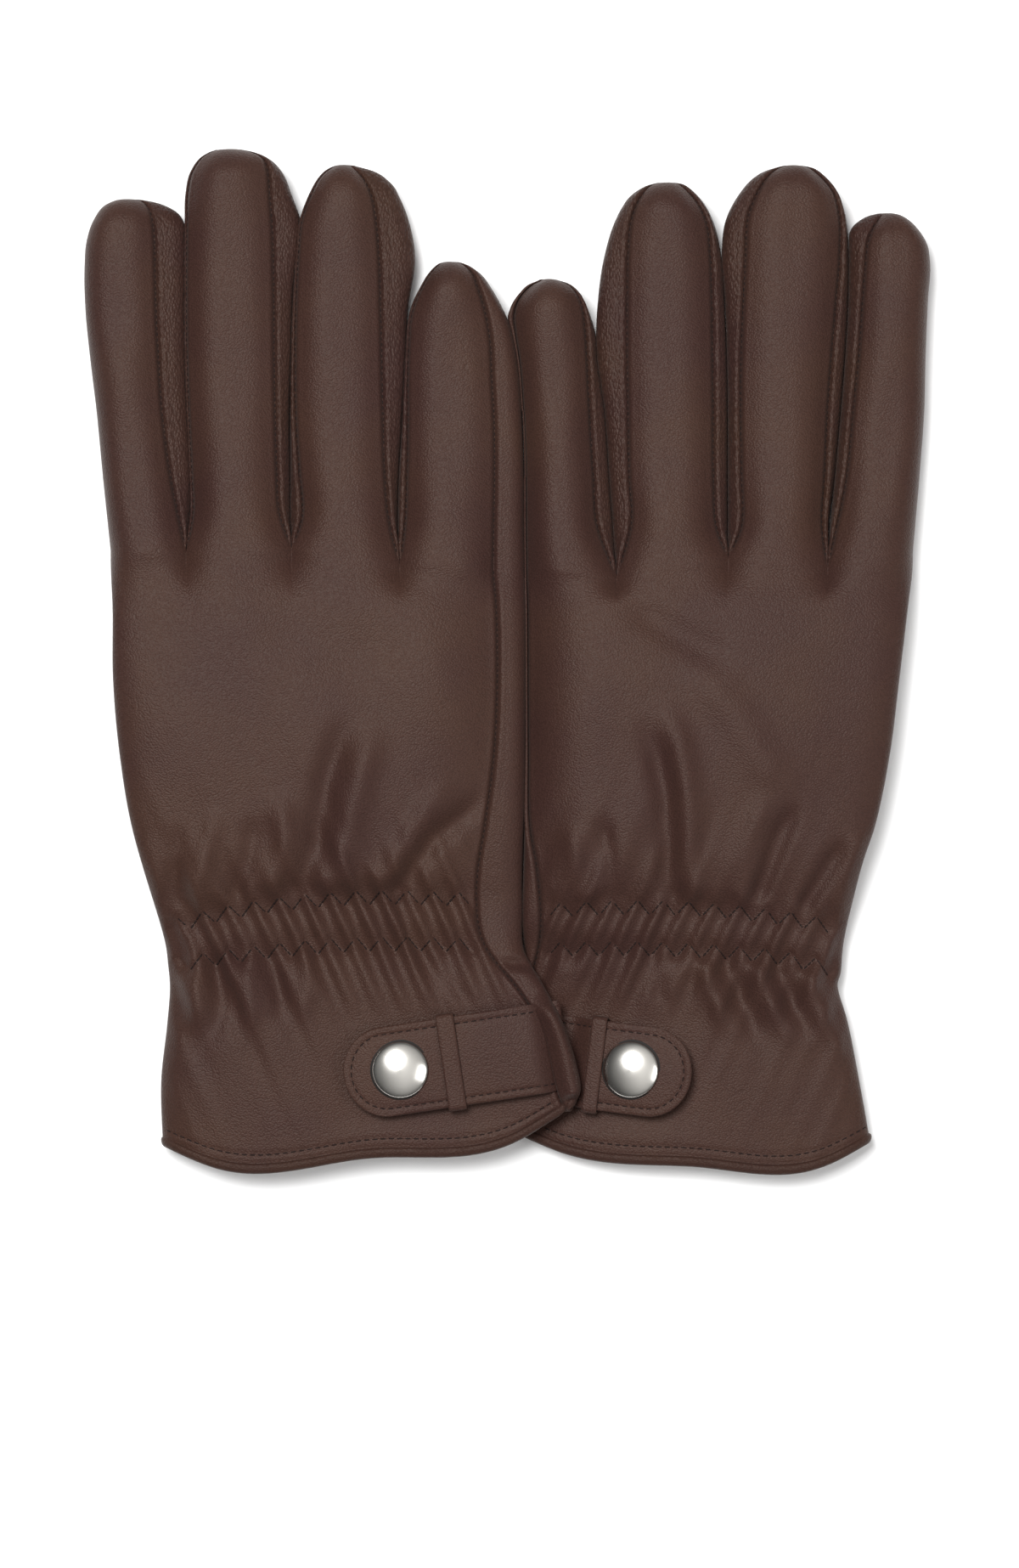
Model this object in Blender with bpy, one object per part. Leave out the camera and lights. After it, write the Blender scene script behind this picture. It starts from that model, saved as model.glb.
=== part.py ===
"""A pair of leather gloves lying flat, backs up, the right glove's cuff resting on the left glove's cuff.

Each glove: a back and a palm sewn along the little-finger side, four finger stalls with fourchettes
between them, a thumb folded under the palm, an elastic band under two zigzag rows, a bound cuff, and a
snap strap with its keeper. Lengths are in millimetres. Each glove is drawn with its index finger towards
-X; the left one is then mirrored.
"""

import math

import bmesh
import bpy
import numpy as np

MM = 0.001
SHIFT = (0.73, -0.42, -0.5)  # brings the pair's bounding box over the origin and its underside to zero

LEATHER = 1.2  # a panel with its own lining glued on
GAP = 0.35  # clearance between neighbouring pieces
LINING = 0.6
PALM_GAP = 2.4  # half the slot in the palm under each finger hinge
FINGER_MID = 6.8  # height of a finger's widest line
FINGER_CROWN = 14.2
FINGER_FLOOR = 0.5
HINGE_HEIGHT = 5.0  # finger hinge axes above the table
TIP_ROUND = 8.0  # how far back from a fingertip its rounding starts

ROW_Y = [-120, -102, -86.5, -78.5, -69.5, -58.5, -51, -40, -22, -4, 14, 25.5]
ACROSS = [0.0, 0.15, 0.5, 0.85, 1.0]

# Per hand row, hem to finger roots: x of the radial edge, the side seam and the ulnar edge, then y at the
# five ACROSS places.
RIGHT_ROWS = [
    (-84.5, 13.8, 15.9, -117.8, -123.2, -120.3, -116.6, -107.5),
    (-84.9, 10.7, 17.1, -101.5, -103.0, -102.0, -101.0, -101.0),
    (-83.4, 6.6, 12.4, -87.5, -87.5, -86.5, -86.0, -86.0),
    (-82.8, 1.2, 8.2, -80.0, -79.5, -78.0, -78.0, -78.3),
    (-83.2, -6.0, 2.9, -73.8, -71.7, -68.6, -68.6, -69.0),
    (-84.7, -8.0, 2.7, -64.9, -61.4, -57.3, -57.5, -58.1),
    (-88.6, -7.7, 2.9, -51.0, -51.0, -51.0, -51.0, -51.0),
    (-91.6, -6.0, 3.3, -40.0, -40.0, -40.0, -40.0, -40.0),
    (-94.6, -3.7, 3.6, -22.0, -22.0, -22.0, -22.0, -22.0),
    (-96.2, -2.9, 3.7, -4.0, -4.0, -4.0, -4.0, -4.0),
    (-96.4, -3.2, 3.7, 14.0, 14.0, 14.0, 14.0, 14.0),
    (-97.2, -3.9, 3.5, 26.8, 25.5, 26.0, 24.0, 25.0),
]
LEFT_ROWS = [
    (-88.0, -2.5, 0.0, -117.0, -123.0, -122.4, -119.5, -114.3),
    (-85.5, -4.1, -0.4, -103.0, -103.0, -103.0, -103.0, -103.0),
    (-82.2, -4.5, -1.0, -86.5, -86.5, -86.5, -86.5, -86.5),
    (-80.1, -4.7, -1.6, -79.3, -79.3, -79.3, -79.3, -79.3),
    (-80.8, -7.0, -3.9, -75.2, -72.3, -69.8, -69.6, -70.0),
    (-82.0, -7.6, -3.6, -64.9, -62.6, -59.7, -59.9, -60.8),
    (-85.1, -6.8, -3.7, -51.0, -51.0, -51.0, -51.0, -51.0),
    (-88.6, -5.0, -3.9, -40.0, -40.0, -40.0, -40.0, -40.0),
    (-92.3, -4.6, -4.2, -22.0, -22.0, -22.0, -22.0, -22.0),
    (-94.6, -4.5, -4.2, -4.0, -4.0, -4.0, -4.0, -4.0),
    (-96.8, -4.4, -4.1, 14.0, 14.0, 14.0, 14.0, 14.0),
    (-98.3, -4.2, -4.0, 28.0, 23.0, 24.0, 22.0, 24.5),
]
# Heights on the same rows: crown of the back, seam, ulnar edge, radial fold, then the floor by the radial
# edge and by the ulnar edge.
RIGHT_HEIGHTS = [
    (14.0, 14.8, 12.6, 6.6, 0.6, 10.4),
    (14.4, 15.0, 12.8, 6.6, 0.6, 10.4),
    (14.4, 15.0, 12.8, 6.6, 0.6, 10.4),
    (14.2, 14.6, 12.2, 6.6, 0.6, 9.8),
    (13.6, 12.4, 9.0, 6.6, 0.6, 6.0),
    (14.2, 11.8, 7.8, 7.4, 0.8, 0.8),
    (16.6, 12.6, 8.0, 12.0, 8.1, 0.6),
    (18.4, 13.4, 8.4, 12.8, 8.1, 0.6),
    (19.4, 13.8, 8.6, 13.2, 8.1, 0.6),
    (19.2, 13.6, 8.4, 12.8, 8.1, 0.6),
    (17.6, 12.8, 7.8, 11.8, 7.6, 0.6),
    (15.4, 11.4, 7.0, 7.6, 0.7, 0.7),
]
LEFT_HEIGHTS = [
    (12.2, 5.4, 3.0, 6.2, 0.6, 0.6),
    (12.4, 5.6, 3.1, 6.4, 0.6, 0.6),
    (12.6, 5.8, 3.2, 6.4, 0.6, 0.6),
    (12.8, 5.8, 3.2, 6.4, 0.6, 0.6),
    (13.0, 7.8, 4.4, 6.4, 0.6, 0.6),
    (14.2, 11.0, 7.0, 7.4, 0.8, 0.8),
    (16.6, 11.6, 7.6, 12.0, 8.1, 0.6),
    (18.4, 10.6, 8.0, 12.8, 8.1, 0.6),
    (19.4, 9.4, 8.2, 13.2, 8.1, 0.6),
    (19.2, 9.2, 8.2, 12.8, 8.1, 0.6),
    (17.6, 8.8, 7.8, 11.8, 7.6, 0.6),
    (15.4, 8.4, 7.0, 7.6, 0.7, 0.7),
]
# On the same rows, how far from the side seam the back starts to fall towards it.
RIGHT_SEAM_ROLL = [26, 26, 26, 24, 16, 13, 13, 14, 14, 14, 13, 12]
LEFT_SEAM_ROLL = [44, 44, 44, 40, 18, 12, 10, 7, 6, 6, 6, 6]
RIGHT_CROTCHES = (-78.5, -52.9, -26.6)
LEFT_CROTCHES = (-77.2, -53.1, -26.0)
RIGHT_ROOT_Y = (27.3, 26.6, 27.6, 23.6, 24.6)  # root line at the fold, the three crotches and the side seam
LEFT_ROOT_Y = (27.0, 22.6, 25.4, 20.6, 24.0)

# Each stall from root to tip: back-seam left x and right x, outermost left x and right x, and y on the left
# and right.
RIGHT_FINGERS = {
    "index": [
        (-97.5, -79.2, -97.5, -78.1, 28.0, 28.0),
        (-99.1, -82.4, -99.1, -77.6, 45.3, 45.3),
        (-100.7, -84.5, -100.7, -78.5, 61.8, 61.8),
        (-102.2, -85.3, -102.2, -79.0, 74.2, 74.2),
        (-103.4, -85.9, -103.4, -79.1, 86.5, 86.5),
        (-103.6, -86.1, -103.6, -79.1, 95.8, 95.8),
        (-103.0, -86.3, -103.0, -79.1, 103.0, 103.0),
        (-101.6, -86.7, -101.6, -79.4, 107.3, 107.0),
        (-98.9, -87.8, -98.9, -82.2, 111.2, 110.4),
        (-95.8, -89.6, -95.8, -87.0, 112.7, 112.3),
        (-93.7, -91.7, -93.7, -91.7, 113.0, 113.0),
    ],
    "middle": [
        (-77.2, -53.8, -77.7, -53.4, 28.0, 28.6),
        (-76.9, -56.0, -77.3, -53.6, 37.1, 37.1),
        (-77.2, -56.5, -77.5, -53.6, 45.3, 45.3),
        (-78.0, -57.0, -78.2, -53.7, 61.8, 61.8),
        (-78.4, -57.2, -78.6, -53.2, 74.2, 74.2),
        (-78.6, -57.3, -78.7, -52.7, 90.6, 90.6),
        (-78.4, -57.7, -78.6, -51.0, 107.1, 107.1),
        (-78.2, -58.3, -78.4, -53.4, 114.3, 114.3),
        (-77.0, -58.8, -77.2, -55.6, 119.5, 119.5),
        (-74.8, -59.9, -75.0, -58.3, 122.8, 122.4),
        (-71.7, -62.8, -71.8, -62.2, 124.7, 124.2),
        (-68.6, -66.6, -68.6, -66.6, 125.2, 125.2),
    ],
    "ring": [
        (-51.0, -28.4, -53.0, -27.3, 28.6, 25.0),
        (-50.4, -29.0, -53.2, -27.4, 35.0, 33.0),
        (-51.1, -30.3, -53.2, -27.2, 47.4, 45.3),
        (-51.9, -30.7, -53.2, -26.4, 59.7, 57.7),
        (-52.1, -31.0, -52.9, -25.5, 72.1, 72.1),
        (-51.9, -31.3, -52.4, -24.9, 86.5, 86.5),
        (-51.3, -31.7, -51.5, -23.2, 98.9, 98.9),
        (-50.3, -32.5, -50.5, -24.9, 108.1, 108.1),
        (-48.2, -33.4, -48.4, -26.8, 113.7, 112.9),
        (-45.7, -35.2, -45.9, -29.3, 118.2, 117.0),
        (-43.3, -37.5, -43.7, -33.4, 120.3, 119.8),
        (-41.2, -39.2, -41.2, -39.2, 121.4, 121.4),
    ],
    "little": [
        (-25.7, -3.9, -26.9, 3.4, 25.0, 25.8),
        (-25.4, -3.8, -27.0, 3.3, 33.0, 33.0),
        (-24.9, -3.6, -26.8, 3.3, 45.3, 45.3),
        (-24.7, -3.7, -26.0, 2.9, 57.7, 57.7),
        (-24.7, -4.3, -25.2, 2.1, 70.0, 70.0),
        (-24.4, -4.7, -24.7, 0.8, 78.3, 78.3),
        (-24.0, -5.5, -24.3, -0.6, 83.4, 83.4),
        (-23.0, -6.4, -23.3, -2.3, 87.1, 87.1),
        (-21.2, -7.8, -21.4, -4.7, 91.1, 91.3),
        (-19.0, -9.3, -19.2, -7.4, 94.8, 94.8),
        (-16.9, -11.3, -17.1, -10.5, 97.0, 96.8),
        (-15.4, -13.4, -15.4, -13.4, 97.8, 97.8),
    ],
}
LEFT_FINGERS = {
    "index": [
        (-98.4, -78.2, -98.4, -77.4, 28.0, 26.0),
        (-99.9, -82.0, -99.9, -79.5, 45.3, 45.3),
        (-101.1, -83.6, -101.1, -81.0, 61.8, 61.8),
        (-101.4, -84.9, -101.4, -82.0, 74.2, 74.2),
        (-102.0, -85.9, -102.0, -82.8, 88.6, 88.6),
        (-102.5, -86.6, -102.5, -82.9, 97.4, 97.4),
        (-101.8, -87.1, -101.8, -82.9, 101.8, 101.8),
        (-99.9, -88.2, -99.9, -83.2, 105.1, 105.1),
        (-97.2, -89.6, -97.2, -85.2, 107.9, 107.5),
        (-94.8, -90.6, -94.8, -88.0, 109.2, 109.0),
        (-92.7, -90.7, -92.7, -90.7, 109.6, 109.6),
    ],
    "middle": [
        (-75.9, -54.4, -76.9, -53.4, 26.0, 27.0),
        (-76.0, -56.4, -77.6, -53.4, 33.0, 33.0),
        (-76.6, -56.4, -79.0, -53.4, 45.3, 45.3),
        (-77.4, -56.2, -80.5, -53.4, 61.8, 61.8),
        (-78.3, -56.3, -81.5, -53.2, 74.2, 74.2),
        (-79.5, -56.9, -82.3, -52.7, 88.6, 88.6),
        (-80.3, -57.4, -82.4, -51.9, 98.9, 98.9),
        (-80.1, -58.3, -81.6, -53.4, 109.2, 109.2),
        (-78.9, -60.2, -80.0, -56.0, 113.9, 113.9),
        (-76.2, -62.6, -77.5, -59.3, 117.6, 117.8),
        (-73.1, -64.9, -74.2, -62.8, 120.3, 119.9),
        (-70.0, -68.0, -70.0, -68.0, 121.3, 121.3),
    ],
    "ring": [
        (-51.4, -28.8, -52.8, -25.6, 27.0, 23.0),
        (-50.3, -29.5, -52.9, -25.4, 33.0, 33.0),
        (-49.6, -29.1, -52.9, -24.5, 45.3, 45.3),
        (-49.5, -28.8, -52.9, -23.3, 61.8, 61.8),
        (-49.4, -28.6, -52.7, -21.5, 74.2, 74.2),
        (-49.2, -28.6, -52.1, -21.8, 88.6, 88.6),
        (-48.8, -28.8, -51.4, -23.3, 98.9, 98.9),
        (-47.6, -29.7, -49.3, -26.0, 107.7, 107.7),
        (-45.9, -30.9, -47.6, -27.8, 111.2, 111.2),
        (-43.7, -32.3, -45.3, -29.7, 114.1, 113.7),
        (-41.2, -34.2, -42.4, -33.0, 116.4, 115.9),
        (-39.1, -37.1, -39.1, -37.1, 117.1, 117.1),
    ],
    "little": [
        (-22.4, -4.2, -25.1, -4.0, 23.0, 25.0),
        (-21.4, -4.1, -25.0, -3.9, 33.0, 33.0),
        (-20.4, -4.0, -24.1, -3.9, 45.3, 45.3),
        (-19.4, -3.4, -22.9, -3.3, 61.8, 61.8),
        (-18.8, -2.4, -21.1, -2.1, 74.2, 74.2),
        (-18.4, -1.5, -20.7, -0.9, 80.3, 80.3),
        (-18.0, -1.2, -19.5, 0.2, 84.5, 84.5),
        (-17.3, -1.9, -18.3, -1.0, 87.5, 87.5),
        (-16.1, -3.5, -16.7, -2.9, 90.0, 90.1),
        (-14.0, -5.8, -14.4, -4.9, 92.1, 92.1),
        (-11.9, -7.6, -11.9, -7.0, 93.1, 93.0),
        (-10.3, -8.3, -10.3, -8.3, 93.6, 93.6),
    ],
}
SEAM_HEIGHTS = {"index": (0, 11.2), "middle": (9.6, 11.2), "ring": (10.4, 11.2), "little": (10.2, 11.4)}
LEFT_LITTLE_SEAM = 8.4  # the left glove's side seam runs low on its wall, beside the right glove

# Strap: snap centre x, y, heading of the tip and tilt in degrees, cuff height at the snap, then the distances
# from the snap to the tip and to the hinge.
RIGHT_STRAP = (-26.4, -98.5, 188.5, 0.0, 14.9, 13.8, 34.0)
LEFT_STRAP = (-29.9, -98.7, 187.0, 9.5, 11.8, 14.8, 11.6)
STRAP_HALF = 10.9
STRAP_PLY = 0.9
CAP_RADIUS = 6.8
CAP_HEIGHT = 3.3
KEEPER_WIDTH = 3.9
KEEPER_PLACE = {"right": 12.4, "left": 9.0}

THUMB_ROOT_Y = -49.0
THUMB_TIP_Y = 10.0
THUMB_PLACES = {"right": (-72.0, -66.5), "left": (-70.5, -65.5)}  # centreline x at the root and at the tip
THUMB_HALF = 13.0
THUMB_TOP = 7.5

COLOURS = {
    "leather": (0.075, 0.047, 0.038, 1),
    "fourchette": (0.062, 0.040, 0.032, 1),
    "lining": (0.030, 0.024, 0.022, 1),
    "elastic": (0.015, 0.014, 0.014, 1),
    "thread": (0.020, 0.012, 0.010, 1),
    "nickel": (0.62, 0.60, 0.57, 1),
}


def clear_scene():
    for obj in list(bpy.data.objects):
        bpy.data.objects.remove(obj, do_unlink=True)


def material(name):
    made = bpy.data.materials.get(name)
    if made is None:
        made = bpy.data.materials.new(name)
        made.use_nodes = True
        shader = made.node_tree.nodes["Principled BSDF"]
        shader.inputs["Base Color"].default_value = COLOURS[name]
        shader.inputs["Roughness"].default_value = 0.25 if name == "nickel" else 0.6
        shader.inputs["Metallic"].default_value = 1.0 if name == "nickel" else 0.0
    return made


def spline(knots, values, at):
    """Smooth curve through values, one row per knot, evaluated at each place in at."""
    knots = np.asarray(knots, float)
    values = np.asarray(values, float).reshape(len(knots), -1)
    at = np.clip(np.atleast_1d(np.asarray(at, float)), knots[0], knots[-1])
    step = np.diff(knots)[:, None]
    slope = np.diff(values, axis=0) / step
    inner = (step[1:] * slope[:-1] + step[:-1] * slope[1:]) / (step[1:] + step[:-1])
    tangent = np.vstack([slope[:1], inner, slope[-1:]])
    low = np.clip(np.searchsorted(knots, at, side="right") - 1, 0, len(knots) - 2)
    s = ((at - knots[low]) / step[low, 0])[:, None]
    return (
        (1 + 2 * s) * (1 - s) ** 2 * values[low]
        + s * (1 - s) ** 2 * step[low] * tangent[low]
        + s * s * (3 - 2 * s) * values[low + 1]
        + s * s * (s - 1) * step[low] * tangent[low + 1]
    )


def ease(t):
    t = np.clip(t, 0, 1)
    return t * t * (3 - 2 * t)


def round_fall(t):
    """1 at t = 0 falling to 0 at t = 1 along a quarter circle."""
    return 1 - np.sqrt(np.clip(1 - (1 - np.clip(t, 0, 1)) ** 2, 0, 1))


def soft_fall(t):
    return (1 - np.clip(t, 0, 1)) ** 2


class Glove:
    """One glove's shape, with its index finger towards -X; side is -1 for the one mirrored afterwards."""

    def __init__(self, name, side, rows, heights, seam_roll, crotches, root_y, fingers, strap):
        self.name = name
        self.side = side
        self.rows = np.array(rows, float)
        self.heights = np.array(heights, float)
        self.seam_roll = np.array(seam_roll, float)
        self.crotches = crotches
        self.root_y = root_y
        self.fingers = fingers
        self.strap = strap
        self.collection = bpy.data.collections.new(name + "_glove")
        bpy.context.scene.collection.children.link(self.collection)

    def edges(self, v):
        return spline(ROW_Y, self.rows[:, :3], v)[0]

    def row_y(self, v, x):
        """The y of hand row v at x: v is its nominal y, and it bends with the hem, elastic and roots."""
        left, _, right = self.edges(v)
        fives = spline(ROW_Y[:-1], self.rows[:-1, 3:], min(v, ROW_Y[-2]))[0]
        y = spline(ACROSS, fives, (x - left) / (right - left))[:, 0]
        if v > ROW_Y[-2]:
            y = y + (self.root_line(x) - y) * (v - ROW_Y[-2]) / (ROW_Y[-1] - ROW_Y[-2])
        return y

    def root_line(self, x):
        left, seam, _ = self.edges(ROW_Y[-1])
        knots = [left, *self.crotches, seam]
        return spline(knots, self.root_y, x)[:, 0]

    def top(self, v, x):
        """Height of the back at x on hand row v."""
        left, seam, _ = self.edges(v)
        crown, seam_z, _, fold_z, _, _ = spline(ROW_Y, self.heights, v)[0]
        roll = spline(ROW_Y, self.seam_roll, v)[0, 0]
        fold_roll = 1.2 * (crown - fold_z)
        fall = (crown - fold_z) * round_fall((x - left) / fold_roll)
        return crown - fall - (crown - seam_z) * soft_fall((seam - x) / roll)

    def floor(self, v, x):
        """Height of the palm's underside: raised over the thumb, and where one cuff lies on the other."""
        _, _, _, _, radial, ulnar = spline(ROW_Y, self.heights, v)[0]
        low = min(0.6, radial, ulnar)
        over_thumb = (radial - low) * ease((-38 - x) / 11)
        over_cuff = (ulnar - low) * ease((x + 16) / 13)
        return low + over_thumb + over_cuff

    def hand_section(self, v, back_n, strip_n, floor_n):
        """Outer points of one hand row: from the fold over the back and side seam, then underneath."""
        left, seam, right = self.edges(v)
        _, seam_z, edge_z, fold_z, _, _ = spline(ROW_Y, self.heights, v)[0]
        x_back = left + (seam - left) * 0.5 * (1 - np.cos(np.pi * np.linspace(0, 1, back_n)))
        back = np.stack([x_back, self.top(v, x_back)], axis=1)
        turn = np.linspace(0, np.pi / 2, strip_n)
        strip = np.stack(
            [seam + (right - seam) * np.sin(turn), edge_z + (seam_z - edge_z) * np.cos(turn) ** 0.7],
            axis=1,
        )
        tuck = min(6.0, edge_z - self.floor(v, right - 6)[()] + 2.0)
        x_floor = np.linspace(right - tuck, left + 6.0, floor_n)
        under = np.stack([x_floor, self.floor(v, x_floor)], axis=1)
        turn = turn[1:-1]
        down = np.stack(
            [right - tuck * (1 - np.cos(turn)), edge_z - (edge_z - under[0, 1]) * np.sin(turn)],
            axis=1,
        )
        up = np.stack(
            [left + 6.0 * (1 - np.sin(turn)), fold_z - (fold_z - under[-1, 1]) * np.cos(turn)],
            axis=1,
        )
        return back, np.vstack([strip, down, under, up, [[left, fold_z]]])

    def place(self, points):
        points = np.asarray(points, float)
        return (points * (self.side, 1, 1) + SHIFT) * MM

    def add(self, name, points, faces, slot):
        mesh = bpy.data.meshes.new(self.name + "_" + name)
        mesh.from_pydata(self.place(points).tolist(), [], [list(f) for f in faces])
        work = bmesh.new()
        work.from_mesh(mesh)
        bmesh.ops.triangulate(work, faces=work.faces[:])
        bmesh.ops.recalc_face_normals(work, faces=work.faces[:])
        work.to_mesh(mesh)
        work.free()
        mesh.materials.append(material(slot))
        obj = bpy.data.objects.new(self.name + "_" + name, mesh)
        self.collection.objects.link(obj)
        return obj

    def axis_marker(self, name, x, y, z):
        """An empty on a joint's axis."""
        marker = bpy.data.objects.new(self.name + "_" + name, None)
        marker.location = self.place([[x, y, z]])[0]
        marker.empty_display_size = 0.01
        self.collection.objects.link(marker)


def inset(section, thickness):
    """An open run of (x, z) points moved inwards: to the right of its direction of travel."""
    ahead = np.gradient(section, axis=0)
    ahead /= np.maximum(np.linalg.norm(ahead, axis=1), 1e-9)[:, None]
    return section + thickness * np.stack([ahead[:, 1], -ahead[:, 0]], axis=1)


def sheet_faces(rows, columns, skip=()):
    """Quads of a grid of points, leaving out the (row, column) cells in skip."""
    return [
        (r * columns + c, r * columns + c + 1, (r + 1) * columns + c + 1, (r + 1) * columns + c)
        for r in range(rows - 1)
        for c in range(columns - 1)
        if (r, c) not in skip
    ]


def panel(glove, name, outer, inner, slot, skip=()):
    """A closed piece between two grids of points, walled along every open edge of the grid."""
    rows, columns = outer.shape[:2]
    count = rows * columns
    quads = sheet_faces(rows, columns, skip)
    edges = {}
    for quad in quads:
        for a, b in zip(quad, quad[1:] + quad[:1]):
            edges[(a, b)] = True
    walls = [(b, a, a + count, b + count) for a, b in edges if (b, a) not in edges]
    faces = quads + [tuple(i + count for i in reversed(quad)) for quad in quads] + walls
    points = np.vstack([outer.reshape(-1, 3), inner.reshape(-1, 3)])
    used = sorted({i for face in faces for i in face})
    new = {old: i for i, old in enumerate(used)}
    return glove.add(name, points[used], [tuple(new[i] for i in face) for face in faces], slot)


def tube(glove, name, outer, inner, slot, closed_end=False):
    """A sleeve between two stacks of closed rings; closed_end caps the last ring of each."""
    rings, around = outer.shape[:2]
    count = rings * around
    faces = []
    for r in range(rings - 1):
        for c in range(around):
            d = (c + 1) % around
            quad = (r * around + c, r * around + d, (r + 1) * around + d, (r + 1) * around + c)
            faces.append(quad)
            faces.append(tuple(i + count for i in reversed(quad)))
    for ring, flip in ((0, True), (rings - 1, False)):
        if ring and closed_end:
            faces.append(tuple(ring * around + c for c in range(around)))
            faces.append(tuple(count + ring * around + c for c in reversed(range(around))))
            continue
        for c in range(around):
            a, b = ring * around + c, ring * around + (c + 1) % around
            faces.append((b, a, a + count, b + count) if flip else (a, b, b + count, a + count))
    points = np.vstack([outer.reshape(-1, 3), inner.reshape(-1, 3)])
    return glove.add(name, points, faces, slot)


def lift_rows(glove, v_rows, sections):
    """Turns each row's (x, z) points into (x, y, z) points on that row."""
    out = []
    for v, section in zip(v_rows, sections):
        out.append(np.stack([section[:, 0], glove.row_y(v, section[:, 0]), section[:, 1]], axis=1))
    return np.array(out)


def trim(grid, glove, end_gap):
    """Starts a grid clear of the cuff's binding and ends it short of the root line by end_gap."""
    grid[0, :, 1] += HEM_BAND + 3 * GAP
    last = grid[-1]
    last[:, 1] = glove.root_line(last[:, 0]) - end_gap
    return grid


HEM_BAND = 3.2
HAND_V = [-120, -102, -86.5, -78.5, -69.5, -58.5, -51, -40, -22, -4, 14, 25.5]


def build_hand(glove):
    backs, back_insides, palms, palm_insides = [], [], [], []
    for v in HAND_V:
        back, palm = glove.hand_section(v, 13, 4, 9)
        back_insides.append(inset(back, LEATHER))
        palm_insides.append(inset(palm, LEATHER))
        backs.append(back)
        palms.append(palm)
    outer = lift_rows(glove, HAND_V, backs)
    inner = lift_rows(glove, HAND_V, back_insides)
    outer[:, 0, 2] += GAP / 2
    inner[:, 0, 2] = outer[:, 0, 2]
    trim(outer, glove, GAP / 2)
    trim(inner, glove, GAP / 2)
    panel(glove, "hand_back", outer, inner, "leather")

    outer = lift_rows(glove, HAND_V, palms)
    inner = lift_rows(glove, HAND_V, palm_insides)
    for grid in (outer, inner):
        grid[:, -1, 2] = outer[:, -1, 2]
    outer[:, -1, 2] -= GAP / 2
    inner[:, -1, 2] = outer[:, -1, 2]
    outer[:, 0, 0] += GAP
    inner[:, 0, 0] += GAP
    trim(outer, glove, PALM_GAP)
    trim(inner, glove, PALM_GAP)
    columns = outer.shape[1]
    ramp = HAND_V.index(-58.5)
    hole = {
        (ramp, c)
        for c in range(columns - 1)
        if -88 < outer[ramp, c, 0] < -56 and -88 < outer[ramp, c + 1, 0] < -56
    }
    panel(glove, "hand_palm", outer, inner, "leather", hole)


def loop_at(glove, v, margin_side, margin_top, margin_floor, around=14):
    """A closed ring inside the hand at row v, that far from its walls."""
    left, seam, right = glove.edges(v)
    low, high = left + margin_side, min(seam, right - 1.0) - margin_side
    if v < -70:
        high = min(high, -22.0 if glove.side < 0 else -12.0)
    half = around // 2
    x = np.linspace(low, high, half)
    up = glove.top(v, x) - margin_top
    down = glove.floor(v, x) + margin_floor
    ends = 0.30 * (up - down)
    up[[0, -1]] -= ends[[0, -1]]
    down[[0, -1]] += ends[[0, -1]]
    ring = np.vstack([np.stack([x, up], 1), np.stack([x[::-1], down[::-1]], 1)])
    return ring


def build_lining(glove):
    outer, inner = [], []
    rows = [-109, -102, -86.5, -78.5, -69.5, -58.5, -51, -40, -22, -4, 10, 17]
    for v in rows:
        ring = loop_at(glove, v, 6.0, LEATHER + 1.5, LEATHER + 1.8)
        middle = ring.mean(axis=0)
        toward = np.sign(middle - ring) * np.array([LINING, LINING])
        outer.append(ring)
        inner.append(ring + toward)
    tube(glove, "hand_lining", lift_rows(glove, rows, outer), lift_rows(glove, rows, inner), "lining")


def build_binding(glove):
    """The leather strip that binds the cuff's edge all the way round."""
    back, palm = glove.hand_section(-120, 13, 4, 9)
    loop = np.vstack([back, palm[1:-1]])
    thick = 1.5
    ahead = np.roll(loop, -1, 0) - np.roll(loop, 1, 0)
    ahead /= np.linalg.norm(ahead, axis=1)[:, None]
    inward = loop + thick * np.stack([ahead[:, 1], -ahead[:, 0]], axis=1)
    outer, inner = [], []
    for rise in (0.0, HEM_BAND):
        base = glove.row_y(-120, loop[:, 0]) + rise
        outer.append(np.stack([loop[:, 0], base, loop[:, 1]], axis=1))
        inner.append(np.stack([inward[:, 0], base, inward[:, 1]], axis=1))
    tube(glove, "cuff_binding", np.array(outer), np.array(inner), "leather")


def build_elastic(glove):
    """The flat elastic sewn inside the back of the wrist, between the leather and the lining."""
    left, seam, _ = glove.edges(-64)
    x = np.linspace(left + 14, seam - 14, 7)
    outer, inner = [], []
    for v in (-70.5, -64.0, -57.5):
        top = glove.top(v, x) - LEATHER - 0.45
        y = glove.row_y(v, x)
        outer.append(np.stack([x, y, top], axis=1))
        inner.append(np.stack([x, y, top - 0.6], axis=1))
    panel(glove, "elastic_band", np.array(outer), np.array(inner), "elastic")


def build_zigzag(glove, name, v, pitch=6.2, half_height=1.8):
    """One zigzag row of heavy thread across the back of the wrist."""
    left, seam, _ = glove.edges(v)
    start, end = left + 4.0, seam - 1.5
    legs = 2 * int((end - start) / pitch)
    x = np.linspace(start, end, legs + 1)
    swing = half_height * np.where(np.arange(legs + 1) % 2, 1, -1)
    y = glove.row_y(v, x) + swing
    z = np.maximum(glove.top(v - half_height, x), glove.top(v + half_height, x)) + 1.0
    outer, inner = [], []
    for offset in (-0.35, 0.35):
        outer.append(np.stack([x, y + offset, z], axis=1))
        inner.append(np.stack([x, y + offset, z - 0.35], axis=1))
    panel(glove, name, np.array(outer), np.array(inner), "thread")


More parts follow.
